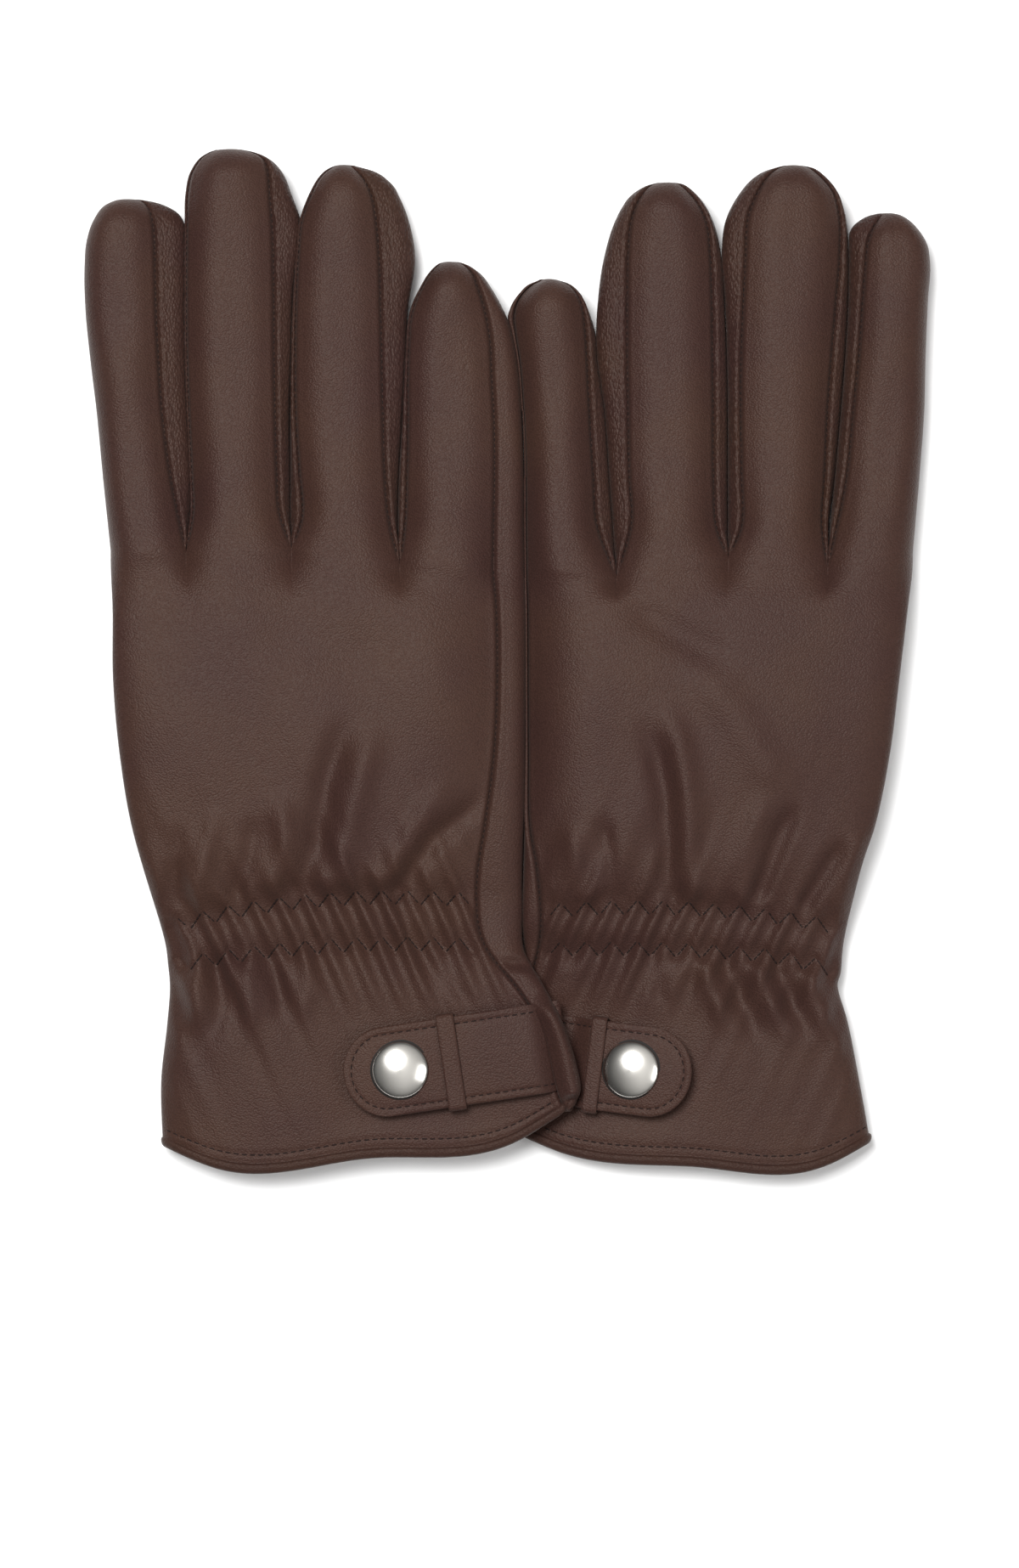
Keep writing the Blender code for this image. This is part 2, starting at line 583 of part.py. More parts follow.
def finger_frame(glove, finger, at):
    """Places along a stall, at 0 (root) to 1 (tip): seam and outer x on both sides, y on both sides."""
    table = np.array(glove.fingers[finger], float)
    left = np.linalg.norm(np.diff(table[:, [0, 4]], axis=0), axis=1)
    right = np.linalg.norm(np.diff(table[:, [1, 5]], axis=0), axis=1)
    along = np.concatenate([[0], np.cumsum(left + right)])
    return spline(along / along[-1], table, at)


def finger_section(glove, finger, at, scale=1.0, pull=0.0):
    """One ring of a stall, as its back, right wall, palm and left wall; scale and pull make the inside."""
    left, right, far_left, far_right, y_left, y_right = finger_frame(glove, finger, at)[0]
    tip_y = np.array(glove.fingers[finger])[-1, 4]
    fold = finger == "index"
    wrap = finger == "little"
    left_seam, right_seam = SEAM_HEIGHTS[finger]
    if wrap and glove.side < 0:
        right_seam = LEFT_LITTLE_SEAM
    closing = math.sqrt(max(1e-4, 1 - (1 - min(1, (tip_y - (y_left + y_right) / 2) / TIP_ROUND)) ** 2))
    closing = max(closing, 0.12)
    if fold:
        left_seam = FINGER_MID

    def ring(x, z, side_share):
        y = y_left + (y_right - y_left) * side_share + np.zeros_like(x)
        middle = (far_left + far_right) / 2
        return np.stack(
            [
                middle + (x - middle) * scale,
                y - pull * np.clip(1 - (tip_y - y) / TIP_ROUND, 0, 1),
                FINGER_MID + (z - FINGER_MID) * closing * (scale if scale == 1 else 0.83),
            ],
            axis=1,
        )

    share = np.linspace(0, 1, 5)
    x = left + (right - left) * share
    wide = right - left
    from_left = x - left
    z = FINGER_CROWN * np.ones(5)
    z -= (FINGER_CROWN - left_seam) * (round_fall if fold else soft_fall)(from_left / min(7.0, wide / 2))
    z -= (FINGER_CROWN - right_seam) * soft_fall((wide - from_left) / min(7.0, wide / 2))
    back = ring(x, z, share)
    low_left = FINGER_MID if fold else 3.4
    low_right = 3.4
    depth = FINGER_FLOOR * np.ones(5)
    fall = round_fall if fold else soft_fall
    depth += (low_left - FINGER_FLOOR) * fall(share * wide / min(6.0, wide / 2))
    depth += (low_right - FINGER_FLOOR) * soft_fall((1 - share) * wide / min(6.0, wide / 2))
    palm = ring(x, depth, share)[::-1]
    turn = np.linspace(0, np.pi, 4)
    right_x = right + (far_right - right) * np.sin(turn) ** 0.8
    right_z = right_seam + (low_right - right_seam) * (1 - np.cos(turn)) / 2
    right_wall = ring(right_x, right_z, 1)
    left_x = left + (far_left - left) * np.sin(turn) ** 0.8
    left_z = low_left + (left_seam - low_left) * (1 - np.cos(turn)) / 2
    left_wall = ring(left_x, left_z, 0)
    return back, right_wall, palm, left_wall


STALL_AT = [0.0, 0.14, 0.34, 0.56, 0.74, 0.86, 0.93, 0.975, 1.0]


def build_finger(glove, finger):
    wide = abs(glove.fingers[finger][3][3] - glove.fingers[finger][3][2])
    scale = 1 - 2 * LEATHER / wide
    outers = [finger_section(glove, finger, at) for at in STALL_AT]
    inners = [finger_section(glove, finger, at, scale, 1.5) for at in STALL_AT]

    def grids(part, root_gap):
        outer = np.array([rings[part] for rings in outers])
        inner = np.array([rings[part] for rings in inners])
        for grid in (outer, inner):
            grid[0, :, 1] = glove.root_line(grid[0, :, 0]) + root_gap
            nearest = grid[0, :, 1] + 1.0
            grid[1, :, 1] = np.maximum(grid[1, :, 1], nearest)
        return outer, inner

    def narrow(outer, inner, first, last):
        """Keeps a seam's clearance by drawing a panel's long edges in a little."""
        for grid in (outer, inner):
            if first:
                step = grid[:, 1] - grid[:, 0]
                grid[:, 0] += step * np.minimum(0.4, first / np.linalg.norm(step, axis=1))[:, None]
            if last:
                step = grid[:, -2] - grid[:, -1]
                grid[:, -1] += step * np.minimum(0.4, last / np.linalg.norm(step, axis=1))[:, None]

    outer, inner = grids(0, GAP / 2)
    narrow(outer, inner, GAP / 2, GAP / 2)
    panel(glove, finger + "_back", outer, inner, "leather")
    if finger == "little":
        wrap_outer, wrap_inner = grids(1, PALM_GAP)
        palm_outer, palm_inner = grids(2, PALM_GAP)
        outer = np.concatenate([wrap_outer, palm_outer[:, 1:]], axis=1)
        inner = np.concatenate([wrap_inner, palm_inner[:, 1:]], axis=1)
    else:
        outer, inner = grids(2, PALM_GAP)
    narrow(outer, inner, GAP / 2, GAP / 2)
    panel(glove, finger + "_palm", outer, inner, "leather")
    if finger != "little":
        outer, inner = grids(1, 1.6)
        narrow(outer, inner, GAP / 2, GAP / 2)
        name = "_fourchette" if finger == "index" else "_fourchette_ulnar"
        panel(glove, finger + name, outer, inner, "fourchette")
    if finger != "index":
        outer, inner = grids(3, 1.6)
        narrow(outer, inner, GAP / 2, GAP / 2)
        name = "_fourchette" if finger == "little" else "_fourchette_radial"
        panel(glove, finger + name, outer, inner, "fourchette")
    left, right, _, _, _, _ = finger_frame(glove, finger, 0.0)[0]
    middle = (left + right) / 2
    glove.axis_marker(finger + "_hinge", middle, glove.root_line(middle)[0], HINGE_HEIGHT)


def build_thumb(glove):
    """The thumb stall, flattened under the palm, with its mouth towards the wrist."""
    root_x, tip_x = THUMB_PLACES[glove.name]
    around = np.linspace(0, 2 * np.pi, 12, endpoint=False)
    outer, inner = [], []
    middle_z = (THUMB_TOP + 0.5) / 2
    for at in (0.0, 0.25, 0.5, 0.72, 0.86, 0.95, 1.0):
        y = THUMB_ROOT_Y + (THUMB_TIP_Y - THUMB_ROOT_Y) * at
        end = math.sqrt(max(0.02, 1 - max(0.0, (at - 0.72) / 0.28) ** 2))
        x = root_x + (tip_x - root_x) * at
        half = (THUMB_HALF - 1.5 * at) * end
        tall = (THUMB_TOP - 0.5) / 2 * (0.35 + 0.65 * end)
        for rings, side, up, back in ((outer, 0, 0, 0), (inner, 1.1, 1.05, 1.6)):
            cos, sin = np.cos(around), np.sin(around)
            rings.append(
                np.stack(
                    [
                        x + max(0.6, half - side) * np.sign(cos) * np.abs(cos) ** 0.7,
                        np.full(12, y - back * max(0.0, (at - 0.5) / 0.5)),
                        middle_z + max(0.3, tall - up) * np.sign(sin) * np.abs(sin) ** 0.55,
                    ],
                    axis=1,
                )
            )
    tube(glove, "thumb", np.array(outer), np.array(inner), "leather", closed_end=True)
    glove.axis_marker("thumb_pivot", root_x - THUMB_HALF + 1.5, THUMB_ROOT_Y + 1.5, middle_z)


class StrapFrame:
    """The snap's own axes: along the strap towards its tip, across it, and up from the cuff."""

    def __init__(self, glove):
        x, y, heading, tilt, height, self.tip, self.hinge = glove.strap
        turn, lean = math.radians(heading), math.radians(tilt)
        self.origin = np.array([x, y, height])
        level = math.cos(lean)
        self.along = np.array([math.cos(turn) * level, math.sin(turn) * level, math.sin(lean)])
        self.across = np.array([-math.sin(turn), math.cos(turn), 0.0])
        self.up = np.cross(self.along, self.across)
        if self.up[2] < 0:
            self.up = -self.up

    def at(self, along, across, up):
        along, across, up = np.broadcast_arrays(*(np.asarray(k, float) for k in (along, across, up)))
        return (
            self.origin
            + along[..., None] * self.along
            + across[..., None] * self.across
            + up[..., None] * self.up
        )


def lathe(glove, frame, name, centre, profile, slot, steps=20):
    """A closed solid turned about the snap's axis from (radius, height) points that end on the axis."""
    turn = np.linspace(0, 2 * np.pi, steps, endpoint=False)
    points = [frame.at(centre, 0.0, profile[0][1])]
    for radius, height in profile[1:-1]:
        points.extend(frame.at(centre + radius * np.cos(turn), radius * np.sin(turn), height))
    points.append(frame.at(centre, 0.0, profile[-1][1]))
    faces = []
    rings = len(profile) - 2
    for c in range(steps):
        d = (c + 1) % steps
        faces.append((0, 1 + d, 1 + c))
        for r in range(rings - 1):
            base = 1 + r * steps
            faces.append((base + c, base + d, base + steps + d, base + steps + c))
        last = 1 + (rings - 1) * steps
        faces.append((last + c, last + d, len(points) - 1))
    return glove.add(name, np.array(points), faces, slot)


def strap_outline(frame, reach, hinge_edge, half, count=9):
    """Half-widths along the strap: square at the hinge and half-round at the tip."""
    nose = 9.5
    straight = np.linspace(-hinge_edge, reach - nose, 4)
    turn = np.linspace(0, np.pi / 2, count)[1:]
    curved = reach - nose + nose * np.sin(turn)
    along = np.concatenate([straight, curved])
    width = np.concatenate([np.full(4, half), half * np.maximum(np.cos(turn) ** 0.85, 0.10)])
    return along, width


def ray_length(ray, outline):
    """Distance from the origin to a closed outline round it, along a unit ray."""
    side = np.roll(outline, -1, 0) - outline
    cross = ray[0] * side[:, 1] - ray[1] * side[:, 0]
    cross = np.where(np.abs(cross) < 1e-9, 1e-9, cross)
    reach = (outline[:, 0] * side[:, 1] - outline[:, 1] * side[:, 0]) / cross
    share = (outline[:, 0] * ray[1] - outline[:, 1] * ray[0]) / cross
    return reach[(share > -1e-6) & (share < 1 + 1e-6) & (reach > 0)].min()


def ply(glove, frame, name, reach, hinge_edge, half, low, high, hole=0.0):
    """One layer of the strap, with a round hole for the socket when hole is given."""
    along, width = strap_outline(frame, reach, hinge_edge, half)
    outline = np.concatenate(
        [np.stack([along, width], 1), np.stack([along[::-1], -width[::-1]], 1)]
    )
    if not hole:
        count = len(outline)
        along, across = outline.T
        points = np.vstack([frame.at(along, across, high), frame.at(along, across, low)])
        faces = [tuple(range(count)), tuple(reversed(range(count, 2 * count)))]
        faces += [(i, i + count, (i + 1) % count + count, (i + 1) % count) for i in range(count)]
        return glove.add(name, points, faces, "leather")
    corners = np.arctan2(outline[[0, -1], 1], outline[[0, -1], 0])
    turn = np.unique(np.concatenate([np.linspace(-np.pi, np.pi, 24, endpoint=False), corners]))
    rays = np.stack([np.cos(turn), np.sin(turn)], axis=1)
    rim = hole * rays
    outline = np.array([ray * ray_length(ray, outline) for ray in rays])
    outer = np.array([frame.at(outline[:, 0], outline[:, 1], z) for z in (low, high)])
    inner = np.array([frame.at(rim[:, 0], rim[:, 1], z) for z in (low, high)])
    return tube(glove, name, outer, inner, "leather")


def build_strap(glove):
    frame = StrapFrame(glove)
    low = 1.45  # the strap's underside above the cuff, leaving room for the keeper
    middle = low + STRAP_PLY
    high = middle + 0.2 + STRAP_PLY
    hinge_edge = frame.hinge - GAP
    ply(glove, frame, "strap_backing", frame.tip - 0.4, hinge_edge, STRAP_HALF - 0.3, low, middle, hole=5.2)
    ply(glove, frame, "strap", frame.tip, hinge_edge, STRAP_HALF, middle + 0.2, high)
    cap = [
        (0, high + GAP),
        (5.6, high + GAP),
        (CAP_RADIUS, high + GAP + 0.35),
        (CAP_RADIUS, high + GAP + 0.8),
        (6.3, high + GAP + 1.5),
        (5.0, high + GAP + 2.4),
        (2.9, high + GAP + 3.1),
        (0, high + GAP + CAP_HEIGHT),
    ]
    lathe(glove, frame, "snap_cap", 0.0, cap, "nickel")
    socket = [
        (0, 1.55),
        (3.0, 1.55),
        (3.0, 0.55),
        (4.8, 0.55),
        (4.8, middle - 0.1),
        (0, middle - 0.1),
    ]
    lathe(glove, frame, "snap_socket", 0.0, socket, "nickel", steps=16)
    stud = [(0, 0.25), (2.6, 0.25), (2.6, 0.9), (2.0, 1.25), (0, 1.25)]
    lathe(glove, frame, "snap_stud", 0.0, stud, "nickel", steps=14)
    post = [(0, -2.7), (3.6, -2.7), (3.6, -2.2), (0, -2.2)]
    lathe(glove, frame, "snap_post", 0.0, post, "nickel", steps=14)

    band, clear = 0.8, 0.3
    place = KEEPER_PLACE[glove.name]
    side = STRAP_HALF + clear
    ring = [(-side, low - clear), (side, low - clear), (side, high + clear), (-side, high + clear)]
    wide = side + band
    bottom, crest = low - clear - band, high + clear + band
    out = [(-wide, bottom), (wide, bottom), (wide, crest), (-wide, crest)]
    outer, inner = [], []
    for shift in (-KEEPER_WIDTH / 2, KEEPER_WIDTH / 2):
        outer.append([frame.at(-place + shift, a, u) for a, u in out])
        inner.append([frame.at(-place + shift, a, u) for a, u in ring])
    tube(glove, "keeper_loop", np.array(outer), np.array(inner), "leather")

    length = 2.4 if glove.side > 0 else 7.0
    places = -frame.hinge - np.array([0.0, length / 2, length])
    along, across = np.meshgrid(places, [-9.5, 0.0, 9.5], indexing="ij")
    tab = frame.at(along, across, 0.0)
    for row in tab:
        for point in row:
            point[2] = glove.top(point[1] + 0.5, point[:1])[0]
    panel(glove, "strap_anchor", tab + [0, 0, 1.5], tab + [0, 0, 0.4], "leather")
    hinge = frame.at(-frame.hinge, 0.0, high + clear + band + 0.1)
    glove.axis_marker("strap_hinge", *hinge)


def main():
    clear_scene()
    right_shape = RIGHT_ROWS, RIGHT_HEIGHTS, RIGHT_SEAM_ROLL, RIGHT_CROTCHES, RIGHT_ROOT_Y, RIGHT_FINGERS
    right = Glove("right", 1, *right_shape, RIGHT_STRAP)
    left_shape = LEFT_ROWS, LEFT_HEIGHTS, LEFT_SEAM_ROLL, LEFT_CROTCHES, LEFT_ROOT_Y, LEFT_FINGERS
    left = Glove("left", -1, *left_shape, LEFT_STRAP)
    for glove in (right, left):
        build_hand(glove)
        build_lining(glove)
        build_binding(glove)
        build_elastic(glove)
        build_zigzag(glove, "zigzag_upper", -58.5)
        build_zigzag(glove, "zigzag_lower", -69.5)
        for finger in ("index", "middle", "ring", "little"):
            build_finger(glove, finger)
        build_thumb(glove)
        build_strap(glove)


main()
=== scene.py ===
"""The gloves as they look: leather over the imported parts, with seams, stitches, gathers, straps and snaps.

Each glove is drawn in millimetres with its index finger towards -X, and the left one is then mirrored.
Every seam, stitch and fold is in the mesh; the leather's grain is in the material.
"""

import math

import bpy
import numpy as np
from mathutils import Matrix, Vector
from mathutils.bvhtree import BVHTree


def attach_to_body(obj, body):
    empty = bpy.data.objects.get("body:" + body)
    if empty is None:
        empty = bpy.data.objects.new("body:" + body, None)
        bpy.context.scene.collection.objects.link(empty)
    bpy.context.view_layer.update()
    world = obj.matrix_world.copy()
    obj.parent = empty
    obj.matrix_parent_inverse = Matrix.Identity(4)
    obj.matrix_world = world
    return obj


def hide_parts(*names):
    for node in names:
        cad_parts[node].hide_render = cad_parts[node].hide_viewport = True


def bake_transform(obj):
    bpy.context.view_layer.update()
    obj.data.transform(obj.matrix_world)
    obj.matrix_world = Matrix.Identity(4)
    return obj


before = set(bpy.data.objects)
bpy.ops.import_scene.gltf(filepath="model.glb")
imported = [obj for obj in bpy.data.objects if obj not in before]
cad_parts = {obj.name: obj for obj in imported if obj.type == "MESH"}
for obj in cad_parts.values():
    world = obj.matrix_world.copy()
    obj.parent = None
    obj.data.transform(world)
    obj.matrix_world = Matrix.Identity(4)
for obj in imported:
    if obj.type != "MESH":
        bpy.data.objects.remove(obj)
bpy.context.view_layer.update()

MM = 0.001
SHIFT = (0.73, -0.42, -0.5)  # from glove drawing to the row's frame

FINGER_MID = 6.8
FINGER_CROWN = 14.2
FINGER_FLOOR = 0.5
TIP_ROUND = 8.0
CROTCH_LOW = 3.4
FINGERS = ("index", "middle", "ring", "little")
ROW_Y = [-120, -102, -86.5, -78.5, -69.5, -58.5, -51, -40, -22, -4, 14, 25.5]
ACROSS = [0.0, 0.15, 0.5, 0.85, 1.0]

# Per hand row, hem to finger roots: x of the radial edge, the side seam and the ulnar edge, then y at the
# five ACROSS places.
RIGHT_ROWS = [
    (-84.5, 13.8, 15.9, -117.8, -123.2, -120.3, -116.6, -107.5),
    (-84.9, 10.7, 17.1, -101.5, -103.0, -102.0, -101.0, -101.0),
    (-83.4, 6.6, 12.4, -87.5, -87.5, -86.5, -86.0, -86.0),
    (-82.8, 1.2, 8.2, -80.0, -79.5, -78.0, -78.0, -78.3),
    (-83.2, -6.0, 2.9, -73.8, -71.7, -68.6, -68.6, -69.0),
    (-84.7, -8.0, 2.7, -64.9, -61.4, -57.3, -57.5, -58.1),
    (-88.6, -7.7, 2.9, -51.0, -51.0, -51.0, -51.0, -51.0),
    (-91.6, -6.0, 3.3, -40.0, -40.0, -40.0, -40.0, -40.0),
    (-94.6, -3.7, 3.6, -22.0, -22.0, -22.0, -22.0, -22.0),
    (-96.2, -2.9, 3.7, -4.0, -4.0, -4.0, -4.0, -4.0),
    (-96.4, -3.2, 3.7, 14.0, 14.0, 14.0, 14.0, 14.0),
    (-97.2, -3.9, 3.5, 26.8, 25.5, 26.0, 24.0, 25.0),
]
LEFT_ROWS = [
    (-88.0, -2.5, 0.0, -117.0, -123.0, -122.4, -119.5, -114.3),
    (-85.5, -4.1, -0.4, -103.0, -103.0, -103.0, -103.0, -103.0),
    (-82.2, -4.5, -1.0, -86.5, -86.5, -86.5, -86.5, -86.5),
    (-80.1, -4.7, -1.6, -79.3, -79.3, -79.3, -79.3, -79.3),
    (-80.8, -7.0, -3.9, -75.2, -72.3, -69.8, -69.6, -70.0),
    (-82.0, -7.6, -3.6, -64.9, -62.6, -59.7, -59.9, -60.8),
    (-85.1, -6.8, -3.7, -51.0, -51.0, -51.0, -51.0, -51.0),
    (-88.6, -5.0, -3.9, -40.0, -40.0, -40.0, -40.0, -40.0),
    (-92.3, -4.6, -4.2, -22.0, -22.0, -22.0, -22.0, -22.0),
    (-94.6, -4.5, -4.2, -4.0, -4.0, -4.0, -4.0, -4.0),
    (-96.8, -4.4, -4.1, 14.0, 14.0, 14.0, 14.0, 14.0),
    (-98.3, -4.2, -4.0, 28.0, 23.0, 24.0, 22.0, 24.5),
]
# Heights on the same rows: crown of the back, seam, ulnar edge, radial fold, then the floor by the radial
# edge and by the ulnar edge.
RIGHT_HEIGHTS = [
    (14.0, 14.8, 12.6, 6.6, 0.6, 10.4),
    (14.4, 15.0, 12.8, 6.6, 0.6, 10.4),
    (14.4, 15.0, 12.8, 6.6, 0.6, 10.4),
    (14.2, 14.6, 12.2, 6.6, 0.6, 9.8),
    (13.6, 12.4, 9.0, 6.6, 0.6, 6.0),
    (14.2, 11.8, 7.8, 7.4, 0.8, 0.8),
    (16.6, 12.6, 8.0, 12.0, 8.1, 0.6),
    (18.4, 13.4, 8.4, 12.8, 8.1, 0.6),
    (19.4, 13.8, 8.6, 13.2, 8.1, 0.6),
    (19.2, 13.6, 8.4, 12.8, 8.1, 0.6),
    (17.6, 12.8, 7.8, 11.8, 7.6, 0.6),
    (15.4, 11.4, 7.0, 7.6, 0.7, 0.7),
]
LEFT_HEIGHTS = [
    (12.2, 5.4, 3.0, 6.2, 0.6, 0.6),
    (12.4, 5.6, 3.1, 6.4, 0.6, 0.6),
    (12.6, 5.8, 3.2, 6.4, 0.6, 0.6),
    (12.8, 5.8, 3.2, 6.4, 0.6, 0.6),
    (13.0, 7.8, 4.4, 6.4, 0.6, 0.6),
    (14.2, 11.0, 7.0, 7.4, 0.8, 0.8),
    (16.6, 11.6, 7.6, 12.0, 8.1, 0.6),
    (18.4, 10.6, 8.0, 12.8, 8.1, 0.6),
    (19.4, 9.4, 8.2, 13.2, 8.1, 0.6),
    (19.2, 9.2, 8.2, 12.8, 8.1, 0.6),
    (17.6, 8.8, 7.8, 11.8, 7.6, 0.6),
    (15.4, 8.4, 7.0, 7.6, 0.7, 0.7),
]
# On the same rows, how far from the side seam the back starts to fall towards it.
RIGHT_SEAM_ROLL = [26, 26, 26, 24, 16, 13, 13, 14, 14, 14, 13, 12]
LEFT_SEAM_ROLL = [44, 44, 44, 40, 18, 12, 10, 7, 6, 6, 6, 6]
RIGHT_CROTCHES = (-78.5, -52.9, -26.6)
LEFT_CROTCHES = (-77.2, -53.1, -26.0)
RIGHT_ROOT_Y = (27.3, 26.6, 27.6, 23.6, 24.6)  # root line at the fold, the three crotches and the side seam
LEFT_ROOT_Y = (27.0, 22.6, 25.4, 20.6, 24.0)

# Each stall from root to tip: back-seam left x and right x, outermost left x and right x, and y on the left
# and right.
RIGHT_FINGERS = {
    "index": [
        (-97.5, -79.2, -97.5, -78.1, 28.0, 28.0),
        (-99.1, -82.4, -99.1, -77.6, 45.3, 45.3),
        (-100.7, -84.5, -100.7, -78.5, 61.8, 61.8),
        (-102.2, -85.3, -102.2, -79.0, 74.2, 74.2),
        (-103.4, -85.9, -103.4, -79.1, 86.5, 86.5),
        (-103.6, -86.1, -103.6, -79.1, 95.8, 95.8),
        (-103.0, -86.3, -103.0, -79.1, 103.0, 103.0),
        (-101.6, -86.7, -101.6, -79.4, 107.3, 107.0),
        (-98.9, -87.8, -98.9, -82.2, 111.2, 110.4),
        (-95.8, -89.6, -95.8, -87.0, 112.7, 112.3),
        (-93.7, -91.7, -93.7, -91.7, 113.0, 113.0),
    ],
    "middle": [
        (-77.2, -53.8, -77.7, -53.4, 28.0, 28.6),
        (-76.9, -56.0, -77.3, -53.6, 37.1, 37.1),
        (-77.2, -56.5, -77.5, -53.6, 45.3, 45.3),
        (-78.0, -57.0, -78.2, -53.7, 61.8, 61.8),
        (-78.4, -57.2, -78.6, -53.2, 74.2, 74.2),
        (-78.6, -57.3, -78.7, -52.7, 90.6, 90.6),
        (-78.4, -57.7, -78.6, -51.0, 107.1, 107.1),
        (-78.2, -58.3, -78.4, -53.4, 114.3, 114.3),
        (-77.0, -58.8, -77.2, -55.6, 119.5, 119.5),
        (-74.8, -59.9, -75.0, -58.3, 122.8, 122.4),
        (-71.7, -62.8, -71.8, -62.2, 124.7, 124.2),
        (-68.6, -66.6, -68.6, -66.6, 125.2, 125.2),
    ],
    "ring": [
        (-51.0, -28.4, -53.0, -27.3, 28.6, 25.0),
        (-50.4, -29.0, -53.2, -27.4, 35.0, 33.0),
        (-51.1, -30.3, -53.2, -27.2, 47.4, 45.3),
        (-51.9, -30.7, -53.2, -26.4, 59.7, 57.7),
        (-52.1, -31.0, -52.9, -25.5, 72.1, 72.1),
        (-51.9, -31.3, -52.4, -24.9, 86.5, 86.5),
        (-51.3, -31.7, -51.5, -23.2, 98.9, 98.9),
        (-50.3, -32.5, -50.5, -24.9, 108.1, 108.1),
        (-48.2, -33.4, -48.4, -26.8, 113.7, 112.9),
        (-45.7, -35.2, -45.9, -29.3, 118.2, 117.0),
        (-43.3, -37.5, -43.7, -33.4, 120.3, 119.8),
        (-41.2, -39.2, -41.2, -39.2, 121.4, 121.4),
    ],
    "little": [
        (-25.7, -3.9, -26.9, 3.4, 25.0, 25.8),
        (-25.4, -3.8, -27.0, 3.3, 33.0, 33.0),
        (-24.9, -3.6, -26.8, 3.3, 45.3, 45.3),
        (-24.7, -3.7, -26.0, 2.9, 57.7, 57.7),
        (-24.7, -4.3, -25.2, 2.1, 70.0, 70.0),
        (-24.4, -4.7, -24.7, 0.8, 78.3, 78.3),
        (-24.0, -5.5, -24.3, -0.6, 83.4, 83.4),
        (-23.0, -6.4, -23.3, -2.3, 87.1, 87.1),
        (-21.2, -7.8, -21.4, -4.7, 91.1, 91.3),
        (-19.0, -9.3, -19.2, -7.4, 94.8, 94.8),
        (-16.9, -11.3, -17.1, -10.5, 97.0, 96.8),
        (-15.4, -13.4, -15.4, -13.4, 97.8, 97.8),
    ],
}
LEFT_FINGERS = {
    "index": [
        (-98.4, -78.2, -98.4, -77.4, 28.0, 26.0),
        (-99.9, -82.0, -99.9, -79.5, 45.3, 45.3),
        (-101.1, -83.6, -101.1, -81.0, 61.8, 61.8),
        (-101.4, -84.9, -101.4, -82.0, 74.2, 74.2),
        (-102.0, -85.9, -102.0, -82.8, 88.6, 88.6),
        (-102.5, -86.6, -102.5, -82.9, 97.4, 97.4),
        (-101.8, -87.1, -101.8, -82.9, 101.8, 101.8),
        (-99.9, -88.2, -99.9, -83.2, 105.1, 105.1),
        (-97.2, -89.6, -97.2, -85.2, 107.9, 107.5),
        (-94.8, -90.6, -94.8, -88.0, 109.2, 109.0),
        (-92.7, -90.7, -92.7, -90.7, 109.6, 109.6),
    ],
    "middle": [
        (-75.9, -54.4, -76.9, -53.4, 26.0, 27.0),
        (-76.0, -56.4, -77.6, -53.4, 33.0, 33.0),
        (-76.6, -56.4, -79.0, -53.4, 45.3, 45.3),
        (-77.4, -56.2, -80.5, -53.4, 61.8, 61.8),
        (-78.3, -56.3, -81.5, -53.2, 74.2, 74.2),
        (-79.5, -56.9, -82.3, -52.7, 88.6, 88.6),
        (-80.3, -57.4, -82.4, -51.9, 98.9, 98.9),
        (-80.1, -58.3, -81.6, -53.4, 109.2, 109.2),
        (-78.9, -60.2, -80.0, -56.0, 113.9, 113.9),
        (-76.2, -62.6, -77.5, -59.3, 117.6, 117.8),
        (-73.1, -64.9, -74.2, -62.8, 120.3, 119.9),
        (-70.0, -68.0, -70.0, -68.0, 121.3, 121.3),
    ],
    "ring": [
        (-51.4, -28.8, -52.8, -25.6, 27.0, 23.0),
        (-50.3, -29.5, -52.9, -25.4, 33.0, 33.0),
        (-49.6, -29.1, -52.9, -24.5, 45.3, 45.3),
        (-49.5, -28.8, -52.9, -23.3, 61.8, 61.8),
        (-49.4, -28.6, -52.7, -21.5, 74.2, 74.2),
        (-49.2, -28.6, -52.1, -21.8, 88.6, 88.6),
        (-48.8, -28.8, -51.4, -23.3, 98.9, 98.9),
        (-47.6, -29.7, -49.3, -26.0, 107.7, 107.7),
        (-45.9, -30.9, -47.6, -27.8, 111.2, 111.2),
        (-43.7, -32.3, -45.3, -29.7, 114.1, 113.7),
        (-41.2, -34.2, -42.4, -33.0, 116.4, 115.9),
        (-39.1, -37.1, -39.1, -37.1, 117.1, 117.1),
    ],
    "little": [
        (-22.4, -4.2, -25.1, -4.0, 23.0, 25.0),
        (-21.4, -4.1, -25.0, -3.9, 33.0, 33.0),
        (-20.4, -4.0, -24.1, -3.9, 45.3, 45.3),
        (-19.4, -3.4, -22.9, -3.3, 61.8, 61.8),
        (-18.8, -2.4, -21.1, -2.1, 74.2, 74.2),
        (-18.4, -1.5, -20.7, -0.9, 80.3, 80.3),
        (-18.0, -1.2, -19.5, 0.2, 84.5, 84.5),
        (-17.3, -1.9, -18.3, -1.0, 87.5, 87.5),
        (-16.1, -3.5, -16.7, -2.9, 90.0, 90.1),
        (-14.0, -5.8, -14.4, -4.9, 92.1, 92.1),
        (-11.9, -7.6, -11.9, -7.0, 93.1, 93.0),
        (-10.3, -8.3, -10.3, -8.3, 93.6, 93.6),
    ],
}
RIGHT_LITTLE_SEAM = 11.4
LEFT_LITTLE_SEAM = 8.4
